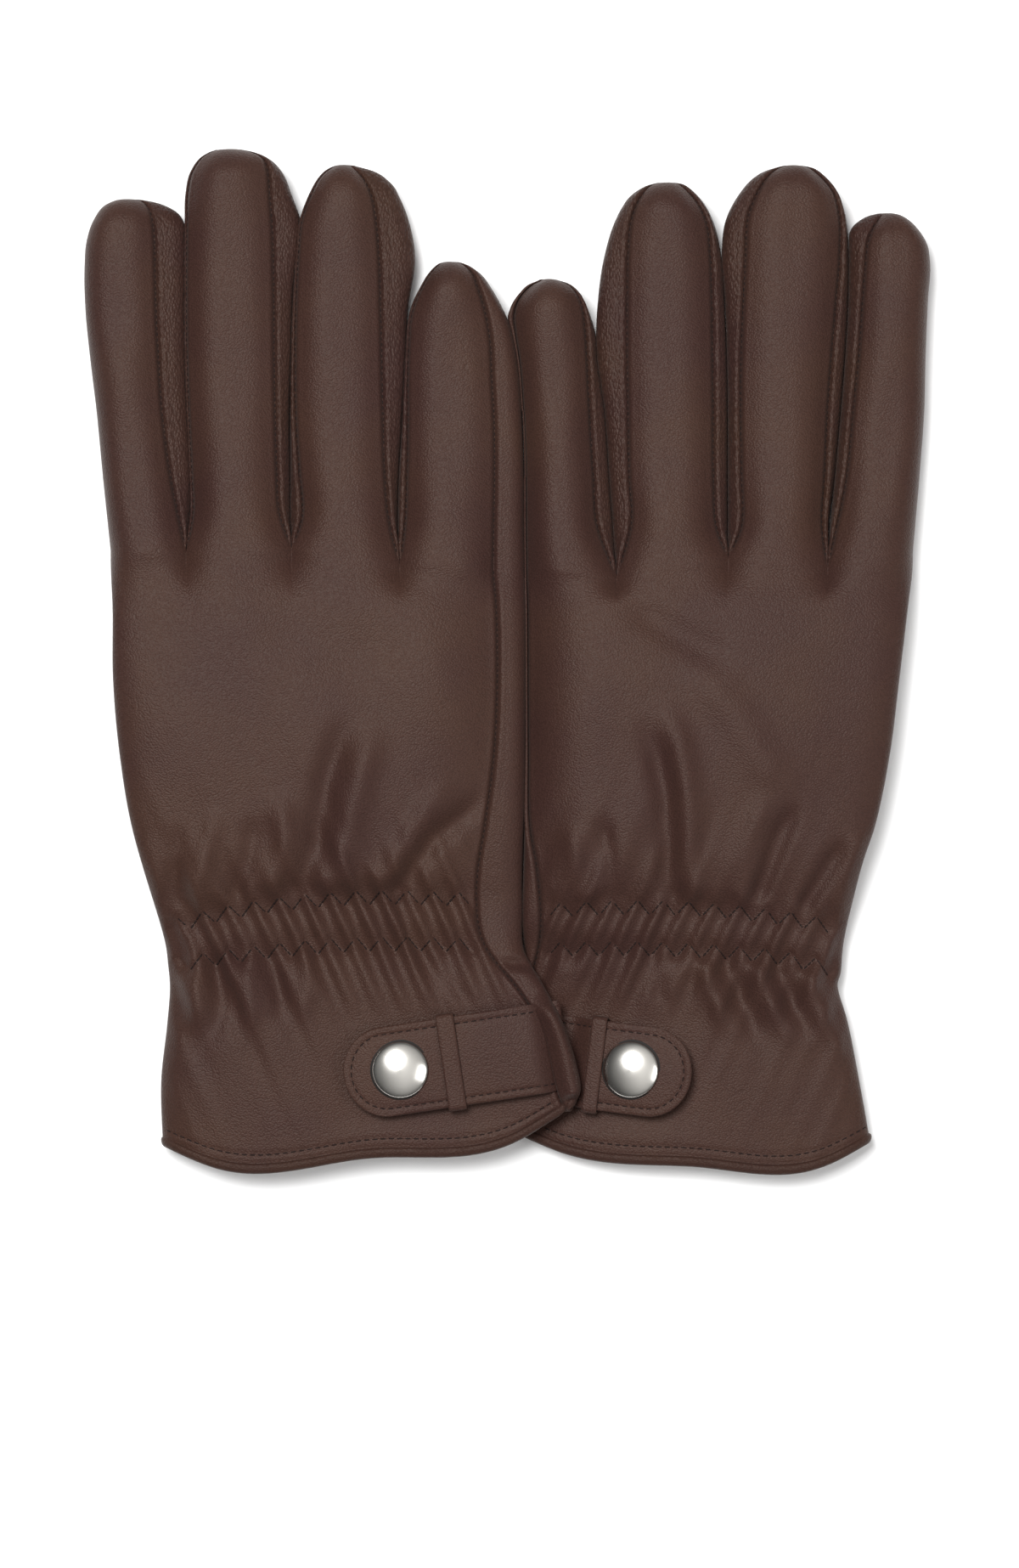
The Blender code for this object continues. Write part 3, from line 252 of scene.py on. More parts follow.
# Snap x and y, heading, tilt, height, then the distances from the snap to the tip and to the sewn end.
RIGHT_STRAP = (-26.4, -98.5, 188.5, 0.0, 14.9, 13.8, 34.0)
LEFT_STRAP = (-29.9, -98.7, 187.0, 9.5, 11.8, 14.8, 11.6)
STRAP_HALF = 10.9
STRAP_NOSE = 10.4
KEEPER_PLACE = {"right": 12.4, "left": 9.0}

THUMB_ROOT_Y = -49.0
THUMB_TIP_Y = 10.0
THUMB_PLACES = {"right": (-72.0, -66.5), "left": (-70.5, -65.5)}  # centreline x at the root and at the tip
THUMB_HALF = 13.0
THUMB_TOP = 7.5
THUMB_MID = 4.0

# Folds in the back of the hand: points along each, width, and height (negative for a valley).
RIGHT_FOLDS = [
    ([(-38.5, -10), (-41.5, -20), (-44.5, -30), (-46.3, -43), (-50.5, -54)], 3.2, -1.5),
    ([(-31.0, -12), (-35.0, -24), (-38.5, -38), (-41.0, -52)], 3.6, 1.2),
    ([(-56.0, -30), (-54.0, -42), (-57.0, -53)], 2.6, 0.9),
    ([(-62.0, -36), (-62.5, -46), (-66.0, -55)], 2.4, -0.8),
    ([(-4.9, -30), (-12, -38), (-18.5, -43), (-26.0, -54)], 2.6, -1.3),
    ([(-12, -28), (-20, -36), (-30.0, -52)], 3.0, 0.9),
    ([(-71, -34), (-73, -46), (-76.5, -56)], 2.6, 0.8),
    ([(-81, -38), (-80, -48), (-83.5, -58)], 2.4, -0.8),
    ([(-66, 10), (-40, 2), (-18, 6)], 7.0, -0.5),
    ([(-90, -60), (-78, -57), (-70, -58)], 3.0, -0.5),
    ([(-77, -73), (-76, -84), (-80, -95)], 2.6, 1.1),
    ([(-71, -74), (-70.5, -86), (-74, -97)], 2.4, -1.1),
    ([(-64, -73), (-62.5, -84), (-65, -96)], 2.4, 0.9),
    ([(-57, -72), (-55.5, -82), (-57, -90)], 2.0, -0.8),
    ([(-50, -71), (-49.0, -80), (-51, -90)], 2.4, 0.8),
    ([(-20, -72), (-14, -79), (-8, -84)], 2.2, -0.6),
]
LEFT_FOLDS = [
    ([(-31.5, -12), (-35.5, -22), (-37.8, -32), (-38.9, -55)], 3.0, -1.5),
    ([(-36.0, -6), (-41.0, -20), (-43.0, -34), (-43.5, -54)], 3.4, 1.2),
    ([(-25.5, 15.7), (-40, 7), (-55.8, -1.2)], 4.0, -0.8),
    ([(-41.8, 2), (-54, -12), (-69, -37)], 5.0, 0.8),
    ([(-69.8, -33), (-65, -43), (-61, -55)], 2.6, -1.3),
    ([(-63.5, -30), (-58.5, -42), (-55, -55)], 3.0, 1.0),
    ([(-82.2, -42), (-77, -50), (-71.9, -58)], 2.4, -1.1),
    ([(-88, -38), (-84, -47), (-80, -58)], 2.6, 0.8),
    ([(-22, -36), (-24, -46), (-25, -56)], 2.4, -0.9),
    ([(-14, -38), (-16, -47), (-17, -56)], 2.6, 0.8),
    ([(-47, -74), (-50, -82), (-54, -93)], 2.6, 1.2),
    ([(-53, -74), (-57.5, -84), (-62, -97)], 2.6, -1.3),
    ([(-60, -75), (-64, -84), (-69, -95)], 2.6, 1.2),
    ([(-66, -76), (-70, -85), (-74, -93)], 2.4, -1.2),
    ([(-73, -77), (-77, -88), (-83, -101)], 2.8, 1.1),
    ([(-36, -73), (-36, -80), (-39, -88)], 2.2, -0.7),
]
ZIGZAG_PITCH = 6.2
ZIGZAG_SWING = 1.85
UPPER_ROW = -58.5
LOWER_ROW = -69.5

# The back's height over the last five hand rows, without a break at the knuckles.
SOFT_CROWN = [17.9, 18.7, 18.5, 17.3, 16.2]
SOFT_CROTCH = 12.4  # the seam's height between two fingers' roots
TOUCH = 0.25  # how far a soft fourchette swells against its neighbour
CROWN_EASE = 42.0  # the length of stall over which the knuckles' height runs out
HEM_ROW = -120
ROOT_ROW = 14  # above this hand row the rows bend towards the finger roots
GATHERS = 40  # folds along the elastic
GATHER_TOP = -50  # a fold that ends below this y runs into the elastic
HAND_TOP = 60.0  # above everything, to look down from
# Radius, length, gap and lift of the stitches in a seam.
SEAM_STITCH = (0.16, 0.8, 0.6, 0.08)

STRAP_LOW = 0.9
PLY = 0.85
STRAP_TOP = STRAP_LOW + 2 * PLY + 0.06


def spline(knots, values, at):
    """Smooth curve through values, one row per knot, evaluated at each place in at."""
    knots = np.asarray(knots, float)
    values = np.asarray(values, float).reshape(len(knots), -1)
    at = np.clip(np.atleast_1d(np.asarray(at, float)), knots[0], knots[-1])
    step = np.diff(knots)[:, None]
    slope = np.diff(values, axis=0) / step
    inner = (step[1:] * slope[:-1] + step[:-1] * slope[1:]) / (step[1:] + step[:-1])
    tangent = np.vstack([slope[:1], inner, slope[-1:]])
    low = np.clip(np.searchsorted(knots, at, side="right") - 1, 0, len(knots) - 2)
    s = ((at - knots[low]) / step[low, 0])[:, None]
    return (
        (1 + 2 * s) * (1 - s) ** 2 * values[low]
        + s * (1 - s) ** 2 * step[low] * tangent[low]
        + s * s * (3 - 2 * s) * values[low + 1]
        + s * s * (s - 1) * step[low] * tangent[low + 1]
    )


def ease(t):
    t = np.clip(t, 0, 1)
    return t * t * (3 - 2 * t)


def round_fall(t):
    """1 at t = 0, dropping steeply at first and easing to 0 at t = 1."""
    return 1 - np.sqrt(np.clip(1 - (1 - np.clip(t, 0, 1)) ** 2.8, 0, 1))


def soft_fall(t):
    return (1 - np.clip(t, 0, 1)) ** 2.8


def bell(distance, width):
    return np.exp(-((distance / width) ** 2))


def across_nodes(width, fine=0.85):
    """Places 0 to 1 across a panel, crowded at both edges where a seam's groove runs."""
    edge = np.array([0, 0.12, 0.26, 0.44, 0.68, 0.98, 1.35, 1.8])
    count = max(2, round((width - 3.6) / fine))
    middle = np.linspace(1.8, width - 1.8, count + 1)[1:-1]
    return np.concatenate([edge, middle, (width - edge)[::-1]]) / width


def distance_to(path, x, y):
    """Each point's distance to a path of (x, y) points, and its place along it from 0 to 1."""
    path = np.asarray(path, float)
    best = np.full(x.shape, 1e9)
    place = np.zeros(x.shape)
    lengths = np.linalg.norm(np.diff(path, axis=0), axis=1)
    starts = np.concatenate([[0], np.cumsum(lengths)])
    for (ax, ay), (bx, by), length, start in zip(path[:-1], path[1:], lengths, starts):
        t = np.clip(((x - ax) * (bx - ax) + (y - ay) * (by - ay)) / length**2, 0, 1)
        d = np.hypot(x - ax - t * (bx - ax), y - ay - t * (by - ay))
        place = np.where(d < best, (start + t * length) / starts[-1], place)
        best = np.minimum(best, d)
    return best, place


def wobble(x, y, seed, size):
    """Slow random swell over the plane, about -1 to 1."""
    rng = np.random.default_rng(seed)
    out = np.zeros(np.shape(x))
    for _ in range(7):
        angle = rng.uniform(0, 2 * np.pi)
        wave = 2 * np.pi / (size * rng.uniform(0.7, 1.6))
        out += np.sin(wave * (x * math.cos(angle) + y * math.sin(angle)) + rng.uniform(0, 2 * np.pi))
    return out / 3.0


def outward(section):
    """Unit normals of rows of (x, z) points that run clockwise seen from the cuff, pointing out."""
    ahead = np.gradient(section, axis=1)
    ahead /= np.maximum(np.linalg.norm(ahead, axis=2, keepdims=True), 1e-9)
    return np.stack([-ahead[..., 1], ahead[..., 0]], axis=2)


def seam_edges(section, first, last, depth=0.75, ramp=1.0):
    """Sinks a panel's long edges into their seams and raises a soft ridge beside each.

    first and last say which way that edge sinks (-1 down, 1 up, 0 where the leather runs on with no seam) and
    the ridge's height.
    """
    step = np.linalg.norm(np.diff(section, axis=1), axis=2)
    along = np.concatenate([np.zeros((len(section), 1)), np.cumsum(step, axis=1)], axis=1)
    total = along[:, -1:]
    ramps = ramp if isinstance(ramp, tuple) else (ramp, ramp)
    push = np.zeros(along.shape)
    sink = np.zeros(along.shape)
    for (way, ridge), distance, grown in ((first, along, ramps[0]), (last, total - along, ramps[1])):
        if way:
            size = ease(total / 5) * grown
            sink += way * size * depth * bell(distance, 0.42)
            push += size * ridge * bell(distance - 1.25, 0.6)
    out = section + push[..., None] * outward(section)
    out[..., 1] += sink
    return out


class Glove:
    """One glove's shape, with its index finger towards -X; side is -1 for the one mirrored afterwards."""

    def __init__(
        self, name, side, rows, heights, seam_roll, crotches, root_y, fingers, folds, little_seam, seed
    ):
        self.name = name
        self.side = side
        self.rows = np.array(rows, float)
        self.heights = np.array(heights, float)
        self.heights[-5:, 0] = SOFT_CROWN
        self.seam_roll = np.array(seam_roll, float)
        self.crotches = crotches
        self.root_y = root_y
        self.folds = folds
        self.little_seam = little_seam
        self.seed = seed
        self.hand = name + "_hand"
        self.strap_x = (RIGHT_STRAP if side > 0 else LEFT_STRAP)[0]
        left, seam, right = self.rows[-1, :3]
        self.borders = [left, *crotches, seam]
        self.fingers = {}
        for i, finger in enumerate(FINGERS):
            table = [list(row) for row in fingers[finger]]
            a, b = self.borders[i], self.borders[i + 1]
            table[0] = [a, b, a, right if finger == "little" else b, root_y[i], root_y[i + 1]]
            self.fingers[finger] = np.array(table, float)
        self.nodes = [across_nodes(b - a) for a, b in zip(self.borders, self.borders[1:])]
        self.shells = []

    def edges(self, v):
        return spline(ROW_Y, self.rows[:, :3], v)[0]

    def row_y(self, v, x):
        """The y at x of the hand row with nominal y v; the row bends with the hem and the elastic."""
        left, _, right = self.edges(v)
        fives = spline(ROW_Y[:-1], self.rows[:-1, 3:], min(v, ROW_Y[-2]))[0]
        return spline(ACROSS, fives, (x - left) / (right - left))[:, 0]

    def top(self, v, x):
        left, seam, _ = self.edges(v)
        crown, seam_z, _, fold_z, _, _ = spline(ROW_Y, self.heights, v)[0]
        roll = spline(ROW_Y, self.seam_roll, v)[0, 0]
        drop = crown - fold_z
        fall = drop * (0.72 * round_fall((x - left) / (1.9 * drop)) + 0.28 * soft_fall((x - left) / 46))
        return crown - fall - (crown - seam_z) * soft_fall((seam - x) / (roll + 14))

    def floor(self, v, x):
        _, _, _, _, radial, ulnar = spline(ROW_Y, self.heights, v)[0]
        low = min(0.6, radial, ulnar)
        return low + (radial - low) * ease((-38 - x) / 11) + (ulnar - low) * ease((x + 16) / 13)

    def relief(self, x, y, upper, lower, hem):
        """Height of folds, gathers and hem at points of the back of the hand.

        upper, lower and hem are the y of the two elastic rows and of the hem at the same points.
        """
        rng = np.random.default_rng(self.seed)
        out = 0.25 * wobble(x, y, self.seed, 34.0) * ease((y + 50) / 20)
        for path, width, height in self.folds:
            away, place = distance_to(path, x, y)
            if path[-1][1] > GATHER_TOP:
                fade = ease(place / 0.3) * ease((1 - place) / 0.3)
            elif path[0][1] > GATHER_TOP:
                fade = ease(place / 0.35)
            else:
                fade = ease((1 - place) / 0.6)
            out += 1.4 * height * bell(away, width) * fade
        strength = rng.uniform(0.6, 1.2, GATHERS)
        reach_up = rng.uniform(5.0, 13.0, GATHERS)
        reach_down = rng.uniform(8.0, 20.0, GATHERS)
        phase = (x + 0.42 * (y - (upper + lower) / 2)) / ZIGZAG_PITCH + GATHERS / 2
        index = np.clip(np.floor(phase).astype(int), 0, GATHERS - 1)
        wave = (0.5 - 0.5 * np.cos(2 * np.pi * phase)) ** 1.3
        above = np.exp(-np.clip(y - upper, 0, None) / reach_up[index])
        below = np.exp(-np.clip(lower - y, 0, None) / reach_down[index])
        out += 1.7 * strength[index] * wave * above * below
        wide = rng.uniform(0.2, 1.3, GATHERS // 2)[index // 2] * (0.5 - 0.5 * np.cos(np.pi * phase)) ** 1.5
        spread = ease((-34 - x) / 14) if self.side > 0 else 1.0
        for distance, reach in ((lower - y, 19.0), (y - upper, 15.0)):
            out += 1.5 * spread * wide * ease(distance / 6) * bell(distance - 4, reach)
        out -= 0.5 * np.exp(-np.clip(y - upper, 0, None) / 9 - np.clip(lower - y, 0, None) / 12)
        for row in (upper, lower):
            out -= 0.55 * bell(y - zigzag(x, row), 0.9)
            out -= 0.35 * bell(y - row, 3.0)
        out += 0.9 * bell(y - (upper + lower) / 2, 3.2) * 0.6
        out -= 0.4 * bell(y - hem - 2.6, 0.5)
        out -= 0.3 * bell(y - hem - 4.6, 0.45)
        under_strap = ease((x - self.strap_x + 22) / 11) * ease((-79 - y) / 9) * ease((y + 116) / 6)
        out -= (np.maximum(out, 0) + 0.4) * under_strap
        for i, crotch in enumerate(self.crotches):
            root = self.root_y[i + 1]
            out -= 0.2 * bell(x - crotch, 1.6) * np.exp(-np.clip(root - y, 0, None) / 3.0)
        return out

    def place(self, points):
        return (np.asarray(points, float) * (self.side, 1, 1) + SHIFT) * MM


def zigzag(x, row):
    """The y of a zigzag seam along row at x."""
    saw = np.abs(((x / ZIGZAG_PITCH) % 1.0) * 2 - 1)
    return row + ZIGZAG_SWING * (2 * saw - 1)


MATERIALS = {}


def socket(node, name, value):
    node.inputs[name].default_value = value


def new_material(name):
    """An empty material's nodes, and its shader."""
    made = bpy.data.materials.new(name)
    made.use_nodes = True
    MATERIALS[name] = made
    return made.node_tree, made.node_tree.nodes["Principled BSDF"]


def add(tree, kind, values, links, **settings):
    """One shader node: values for some of its sockets, and other nodes' outputs for some."""
    made = tree.nodes.new("ShaderNode" + kind)
    for name, value in settings.items():
        setattr(made, name, value)
    for name, value in values.items():
        socket(made, name, value)
    for name, source in links.items():
        tree.links.new(source, made.inputs[name])
    return made


def leather(name, colour, other, size, stretch, depth, roughness):
    """Leather with a fine pebble grain, slow colour changes, painted shade in the grain's grooves and a soft
    sheen.
    """
    tree, shader = new_material(name)
    rest = add(tree, "Attribute", {}, {}, attribute_name="rest").outputs["Vector"]
    mapping = add(tree, "Mapping", {"Rotation": (0, 0, 0.5), "Scale": stretch}, {"Vector": rest})
    askew = mapping.outputs["Vector"]
    warp = add(tree, "TexNoise", {"Scale": 900.0, "Detail": 2.0}, {"Vector": askew})
    linked = {0: warp.outputs["Color"], 2: askew}
    bend = add(tree, "VectorMath", {1: (0.0003, 0.0003, 0.0003)}, linked, operation="MULTIPLY_ADD")
    values = {"Scale": 1000.0 / size, "Smoothness": 0.35}
    grain = add(tree, "TexVoronoi", values, {"Vector": bend.outputs["Vector"]}, feature="SMOOTH_F1")
    distance = grain.outputs["Distance"]
    fine = add(tree, "TexNoise", {"Scale": 3200.0, "Detail": 3.0}, {"Vector": rest})
    height = add(tree, "Math", {1: -2.4}, {0: distance, 2: fine.outputs["Fac"]}, operation="MULTIPLY_ADD")
    bump = add(tree, "Bump", {"Strength": depth, "Distance": 0.00013}, {"Height": height.outputs["Value"]})
    broad = add(tree, "TexNoise", {"Scale": 38.0, "Detail": 3.0}, {"Vector": rest})
    spread = add(tree, "MapRange", {"From Min": 0.35, "From Max": 0.65}, {"Value": broad.outputs["Fac"]})
    tint = add(tree, "Mix", {6: colour, 7: other}, {0: spread.outputs["Result"]}, data_type="RGBA")
    # Painted shade: the base colour darkens towards the grooves between the grain's pebbles (down to 0.80) and
    # lightens a little on their tops (up to 1.08).
    values = {"From Min": 0.1, "From Max": 0.7, "To Min": 1.08, "To Max": 0.80}
    groove_shade = add(tree, "MapRange", values, {"Value": distance})
    linked = {0: tint.outputs[2], "Scale": groove_shade.outputs["Result"]}
    shade = add(tree, "VectorMath", {}, linked, operation="SCALE")
    tree.links.new(shade.outputs["Vector"], shader.inputs["Base Color"])
    tree.links.new(bump.outputs["Normal"], shader.inputs["Normal"])
    for field, value in (
        ("Roughness", roughness), ("Specular IOR Level", 0.15), ("Specular Tint", (1.0, 0.86, 0.77, 1)),
        ("Sheen Weight", 0.05), ("Sheen Roughness", 0.5), ("Sheen Tint", (0.8, 0.66, 0.6, 1)),
    ):
        socket(shader, field, value)


def plain(name, colour, roughness, metallic=0.0, bump_scale=0.0, bump_depth=0.0):
    """A plain material, with a fine weave where bump_scale isn't 0."""
    tree, shader = new_material(name)
    socket(shader, "Base Color", colour)
    socket(shader, "Roughness", roughness)
    socket(shader, "Metallic", metallic)
    socket(shader, "Specular IOR Level", 0.5 if metallic else 0.15)
    if bump_scale:
        rest = add(tree, "Attribute", {}, {}, attribute_name="rest").outputs["Vector"]
        weave = add(tree, "TexNoise", {"Scale": bump_scale, "Detail": 4.0}, {"Vector": rest})
        values = {"Strength": bump_depth, "Distance": 0.0003}
        bump = add(tree, "Bump", values, {"Height": weave.outputs["Fac"]})
        tree.links.new(bump.outputs["Normal"], shader.inputs["Normal"])


def make_materials():
    for name, colour, other, size, stretch, depth, roughness in (
        ("leather", (0.0470, 0.0225, 0.0162, 1), (0.0400, 0.0182, 0.0150, 1), 0.46, (1, 1.2, 1), 0.38, 0.46),
        ("fourchette", (0.0405, 0.019, 0.013, 1), (0.036, 0.016, 0.0135, 1), 0.72, (1.4, 0.75, 1), 0.75, 0.43),
        ("binding", (0.0395, 0.0185, 0.0130, 1), (0.035, 0.016, 0.013, 1), 0.44, (1, 1.2, 1), 0.42, 0.50),
    ):
        leather(name, colour, other, size, stretch, depth, roughness)
    plain("thread", (0.014, 0.008, 0.007, 1), 0.8, 0.0, 2500.0, 0.4)
    plain("lining", (0.030, 0.024, 0.022, 1), 0.9, 0.0, 1800.0, 0.8)
    plain("elastic", (0.015, 0.014, 0.014, 1), 0.8, 0.0, 1500.0, 0.6)
    plain("nickel", (0.68, 0.66, 0.62, 1), 0.22, 1.0, 300.0, 0.02)
    # Painted shade: a near-black colour for the flat ring round each snap cap's base, standing in for the
    # shadow under the cap's rim.
    plain("gap", (0.012, 0.010, 0.009, 1), 0.6)


def piece(glove, name, points, faces, material):
    """One visual mesh, from points in the glove's millimetres."""
    placed = glove.place(points)
    if glove.side < 0:
        faces = [tuple(reversed(face)) for face in faces]
    mesh = bpy.data.meshes.new(glove.name + "_" + name)
    mesh.from_pydata(placed.tolist(), [], faces)
    mesh.validate()
    rest = mesh.attributes.new("rest", "FLOAT_VECTOR", "POINT")
    rest.data.foreach_set("vector", placed.astype(np.float32).ravel())
    mesh.materials.append(MATERIALS[material])
    obj = bpy.data.objects.new(glove.name + "_" + name + "_look", mesh)
    bpy.context.scene.collection.objects.link(obj)
    mesh.shade_smooth()
    return obj


def grid_faces(rows, columns, wrap=False):
    faces = []
    for r in range(rows - 1):
        for c in range(columns if wrap else columns - 1):
            d = (c + 1) % columns
            faces.append((r * columns + c, r * columns + d, (r + 1) * columns + d, (r + 1) * columns + c))
    return faces


def attach(obj, glove, nodes, drive):
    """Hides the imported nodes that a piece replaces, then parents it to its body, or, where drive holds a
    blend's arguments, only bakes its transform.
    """
    if nodes:
        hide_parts(*[glove.name + "_" + node for node in nodes])
    if isinstance(drive, str):
        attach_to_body(obj, drive)
    else:
        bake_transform(obj)


def shell(glove, name, grid, material, nodes, drive):
    """A leather panel from a grid of points."""
    rows, columns = grid.shape[:2]
    obj = piece(glove, name, grid.reshape(-1, 3), grid_faces(rows, columns), material)
    glove.shells.append(obj)
    attach(obj, glove, nodes, drive)


def share_normals(glove):
    """Gives panels that meet one common normal along the join, so that it doesn't show."""
    points, normals, spans = [], [], []
    start = 0
    for obj in glove.shells:
        mesh = obj.data
        count = len(mesh.vertices)
        here = np.empty(count * 3)
        mesh.vertices.foreach_get("co", here)
        loops = np.empty(len(mesh.loops), int)
        mesh.loops.foreach_get("vertex_index", loops)
        faces = np.array([p.vertices[:] for p in mesh.polygons])
        here = here.reshape(-1, 3)
        corner = here[faces]
        flat = np.cross(corner[:, 2] - corner[:, 0], corner[:, 3] - corner[:, 1])
        total = np.zeros((count, 3))
        for k in range(4):
            np.add.at(total, faces[:, k], flat)
        spans.append((start, count, obj))
        start += count
        points.append(here)
        normals.append(total)
    points = np.vstack(points)
    normals = np.vstack(normals)
    _, same = np.unique(np.round(points / 2e-5).astype(int), axis=0, return_inverse=True)
    same = same.reshape(-1)
    merged = np.zeros((same.max() + 1, 3))
    np.add.at(merged, same, normals)
    merged /= np.maximum(np.linalg.norm(merged, axis=1, keepdims=True), 1e-12)
    for start, count, obj in spans:
        found = merged[same[start : start + count]]
        obj.data.normals_split_custom_set_from_vertices(found.tolist())


def capsules(paths, radius, length, gap, lift, sides=6):
    """Stitches along each path of (points, ups): one short rounded thread per stitch."""
    points, faces = [], []
    rings = [(-0.5, 0.35), (-0.38, 0.85), (0.0, 1.0), (0.38, 0.85), (0.5, 0.35)]
    turn = np.linspace(0, 2 * np.pi, sides, endpoint=False)
    for path, ups in paths:
        path = np.asarray(path, float)
        steps = np.linalg.norm(np.diff(path, axis=0), axis=1)
        along = np.concatenate([[0], np.cumsum(steps)])
        pitch = length + gap
        for k in range(int(along[-1] / pitch)):
            middle = (k + 0.5) * pitch
            ends = (middle - length / 2, middle + length / 2)
            a, b = np.array([[np.interp(e, along, path[:, i]) for i in range(3)] for e in ends])
            ahead = (b - a) / max(np.linalg.norm(b - a), 1e-9)
            up = np.array([np.interp(middle, along, np.asarray(ups, float)[:, i]) for i in range(3)])
            side = np.cross(ahead, up)
            side /= max(np.linalg.norm(side), 1e-9)
            up = np.cross(side, ahead)
            centre = (a + b) / 2 + up * lift
            base = len(points)
            for shift, thick in rings:
                for t in turn:
                    offset = side * math.cos(t) * radius * thick + up * math.sin(t) * radius * 0.7 * thick
                    points.append(centre + ahead * shift * length + offset)
            for r in range(len(rings) - 1):
                for c in range(sides):
                    d = (c + 1) % sides
                    one = base + r * sides
                    faces.append((one + c, one + sides + c, one + sides + d, one + d))
            faces.append(tuple(base + c for c in range(sides)))
            faces.append(tuple(base + (len(rings) - 1) * sides + c for c in reversed(range(sides))))
    return np.array(points), faces


def stitches(glove, name, paths, drive, radius, length, gap, lift, replaces=()):
    points, faces = capsules(paths, radius, length, gap, lift)
    obj = piece(glove, name, points, faces, "thread")
    attach(obj, glove, replaces, drive)


def upward(path):
    return np.tile([0.0, 0.0, 1.0], (len(path), 1))


def finger_rows(glove, finger):
    """(places along the stall, table values there): dense towards the tip."""
    table = glove.fingers[finger]
    left = np.linalg.norm(np.diff(table[:, [0, 4]], axis=0), axis=1)
    right = np.linalg.norm(np.diff(table[:, [1, 5]], axis=0), axis=1)
    along = np.concatenate([[0], np.cumsum((left + right) / 2)])
    body = np.linspace(0, along[-1] - 14, round((along[-1] - 14) / 0.9))
    tip = np.linspace(along[-1] - 14, along[-1], 36)[1:]
    at = np.concatenate([body, tip])
    return at, spline(along, table, at)


def finger_sections(glove, finger):
    """Grids of the stall's back, right wall, palm and left wall, from root to tip."""
    i = FINGERS.index(finger)
    at, values = finger_rows(glove, finger)
    left, right, far_left, far_right, y_left, y_right = values.T[:, :, None]
    far_right = far_right + TOUCH * (far_right > right + 0.1)
    if finger != "index":
        far_left = far_left - TOUCH * (far_left < left - 0.1)
    fold, wrap = finger == "index", finger == "little"
    own = ((0, 11.2), (9.6, 11.2), (10.4, 11.2), (10.2, 11.4))[i]  # heights of the left and right back seams
    away = ease(at / 12)[:, None]
    from_root = (1 - np.clip(at / CROWN_EASE, 0, 1))[:, None] ** 2
    crown = FINGER_CROWN + (SOFT_CROWN[-1] - FINGER_CROWN) * from_root
    seam_left = FINGER_MID if fold else SOFT_CROTCH + (own[0] - SOFT_CROTCH) * away
    root_seam = spline(ROW_Y, glove.heights[:, 1], ROW_Y[-1])[0, 0]
    seam_right = SOFT_CROTCH + (own[1] - SOFT_CROTCH) * away
    if wrap:
        seam_right = root_seam + (glove.little_seam - root_seam) * away
    low_left = FINGER_MID if fold else CROTCH_LOW
    low_right = CROTCH_LOW
    tip_y = glove.fingers[finger][-1, 4]
    middle_y = (y_left + y_right) / 2
    nearness = np.clip((tip_y - middle_y) / TIP_ROUND, 0, 1)
    closing = np.sqrt(np.clip(1 - (1 - nearness) ** 2, 0.0004, 1))
    closing[-1] = 0.0

    def lift(section, share):
        z = FINGER_MID + (section[..., 1] - FINGER_MID) * closing
        x = section[..., 0].copy()
        x[-1] = (left[-1] + right[-1]) / 2
        y = (y_left + (y_right - y_left) * share) + 0 * z
        y[-1] = middle_y[-1]
        return np.stack([x, y, z], axis=2)

    def pair(x, z):
        x, z = np.broadcast_arrays(x, z)
        return np.stack([x, z], axis=2)

    w = glove.nodes[i][None, :]
    x = left + (right - left) * w
    wide = right - left
    reach = np.minimum(11.0, wide / 2)
    z = crown - (crown - seam_left) * (round_fall if fold else soft_fall)(w * wide / reach)
    z = z - (crown - seam_right) * soft_fall((1 - w) * wide / reach)
    swell = 0.35 * wobble(x, y_left + 0 * x, glove.seed + 10 + i, 30.0) * away * bell(w - 0.5, 0.35)
    ramp = ease(at / 5)[:, None]
    top, low, none = (-1, 0.12), (1, 0.0), (0, 0.0)
    outer = 1.0 if wrap else ramp
    back = seam_edges(pair(x, z + swell), none if fold else top, top, ramp=(ramp, outer))
    low_reach = np.minimum(6.0, wide / 2)
    rise = (round_fall if fold else soft_fall)(w * wide / low_reach)
    depth = FINGER_FLOOR + (low_left - FINGER_FLOOR) * rise
    depth = depth + (low_right - FINGER_FLOOR) * soft_fall((1 - w) * wide / low_reach)
    under = pair(x[:, ::-1], depth[:, ::-1])
    palm = seam_edges(under, none if wrap else low, none if fold else low, 0.5, ramp)
    turn = (0.5 - 0.5 * np.cos(np.linspace(0, np.pi, 27)))[None, :] * np.pi
    right_x = right + (far_right - right) * np.sin(turn) ** 0.8
    right_z = seam_right + (low_right - seam_right) * (1 - np.cos(turn)) / 2
    if wrap:
        right_z = right_z + 0.9 * np.sin(2 * np.clip(turn, 0, np.pi / 2)) ** 0.8
    right_wall = seam_edges(pair(right_x, right_z), (-1, 0.32), none if wrap else low, 0.75, (outer, ramp))
    left_x = left + (far_left - left) * np.sin(turn) ** 0.8
    left_z = low_left + (seam_left - low_left) * (1 - np.cos(turn)) / 2
    left_wall = seam_edges(pair(left_x, left_z), low, (-1, 0.32), 0.75, ramp)
    back, right_wall = lift(back, w), lift(right_wall, 1.0)
    palm, left_wall = lift(palm, w[:, ::-1]), lift(left_wall, 0.0)
    right_wall[:, 0], right_wall[:, -1] = back[:, -1], palm[:, 0]
    left_wall[:, 0], left_wall[:, -1] = palm[:, -1], back[:, 0]
    if fold:
        palm[:, -1] = back[:, 0]
    return back, right_wall, palm, left_wall


def finger_drive(glove, finger):
    """The hand's name, the stall's body and two points from the stall's root along it, as a blend's arguments.
    """
    i = FINGERS.index(finger)
    x = (glove.borders[i] + glove.borders[i + 1]) / 2
    y = max(glove.root_y[i], glove.root_y[i + 1])
    start, end = glove.place([[x, y + 0.5, 5.0], [x, y + 17.0, 5.0]])
    return (glove.hand, glove.name + "_" + finger + "_stall", tuple(start), tuple(end))


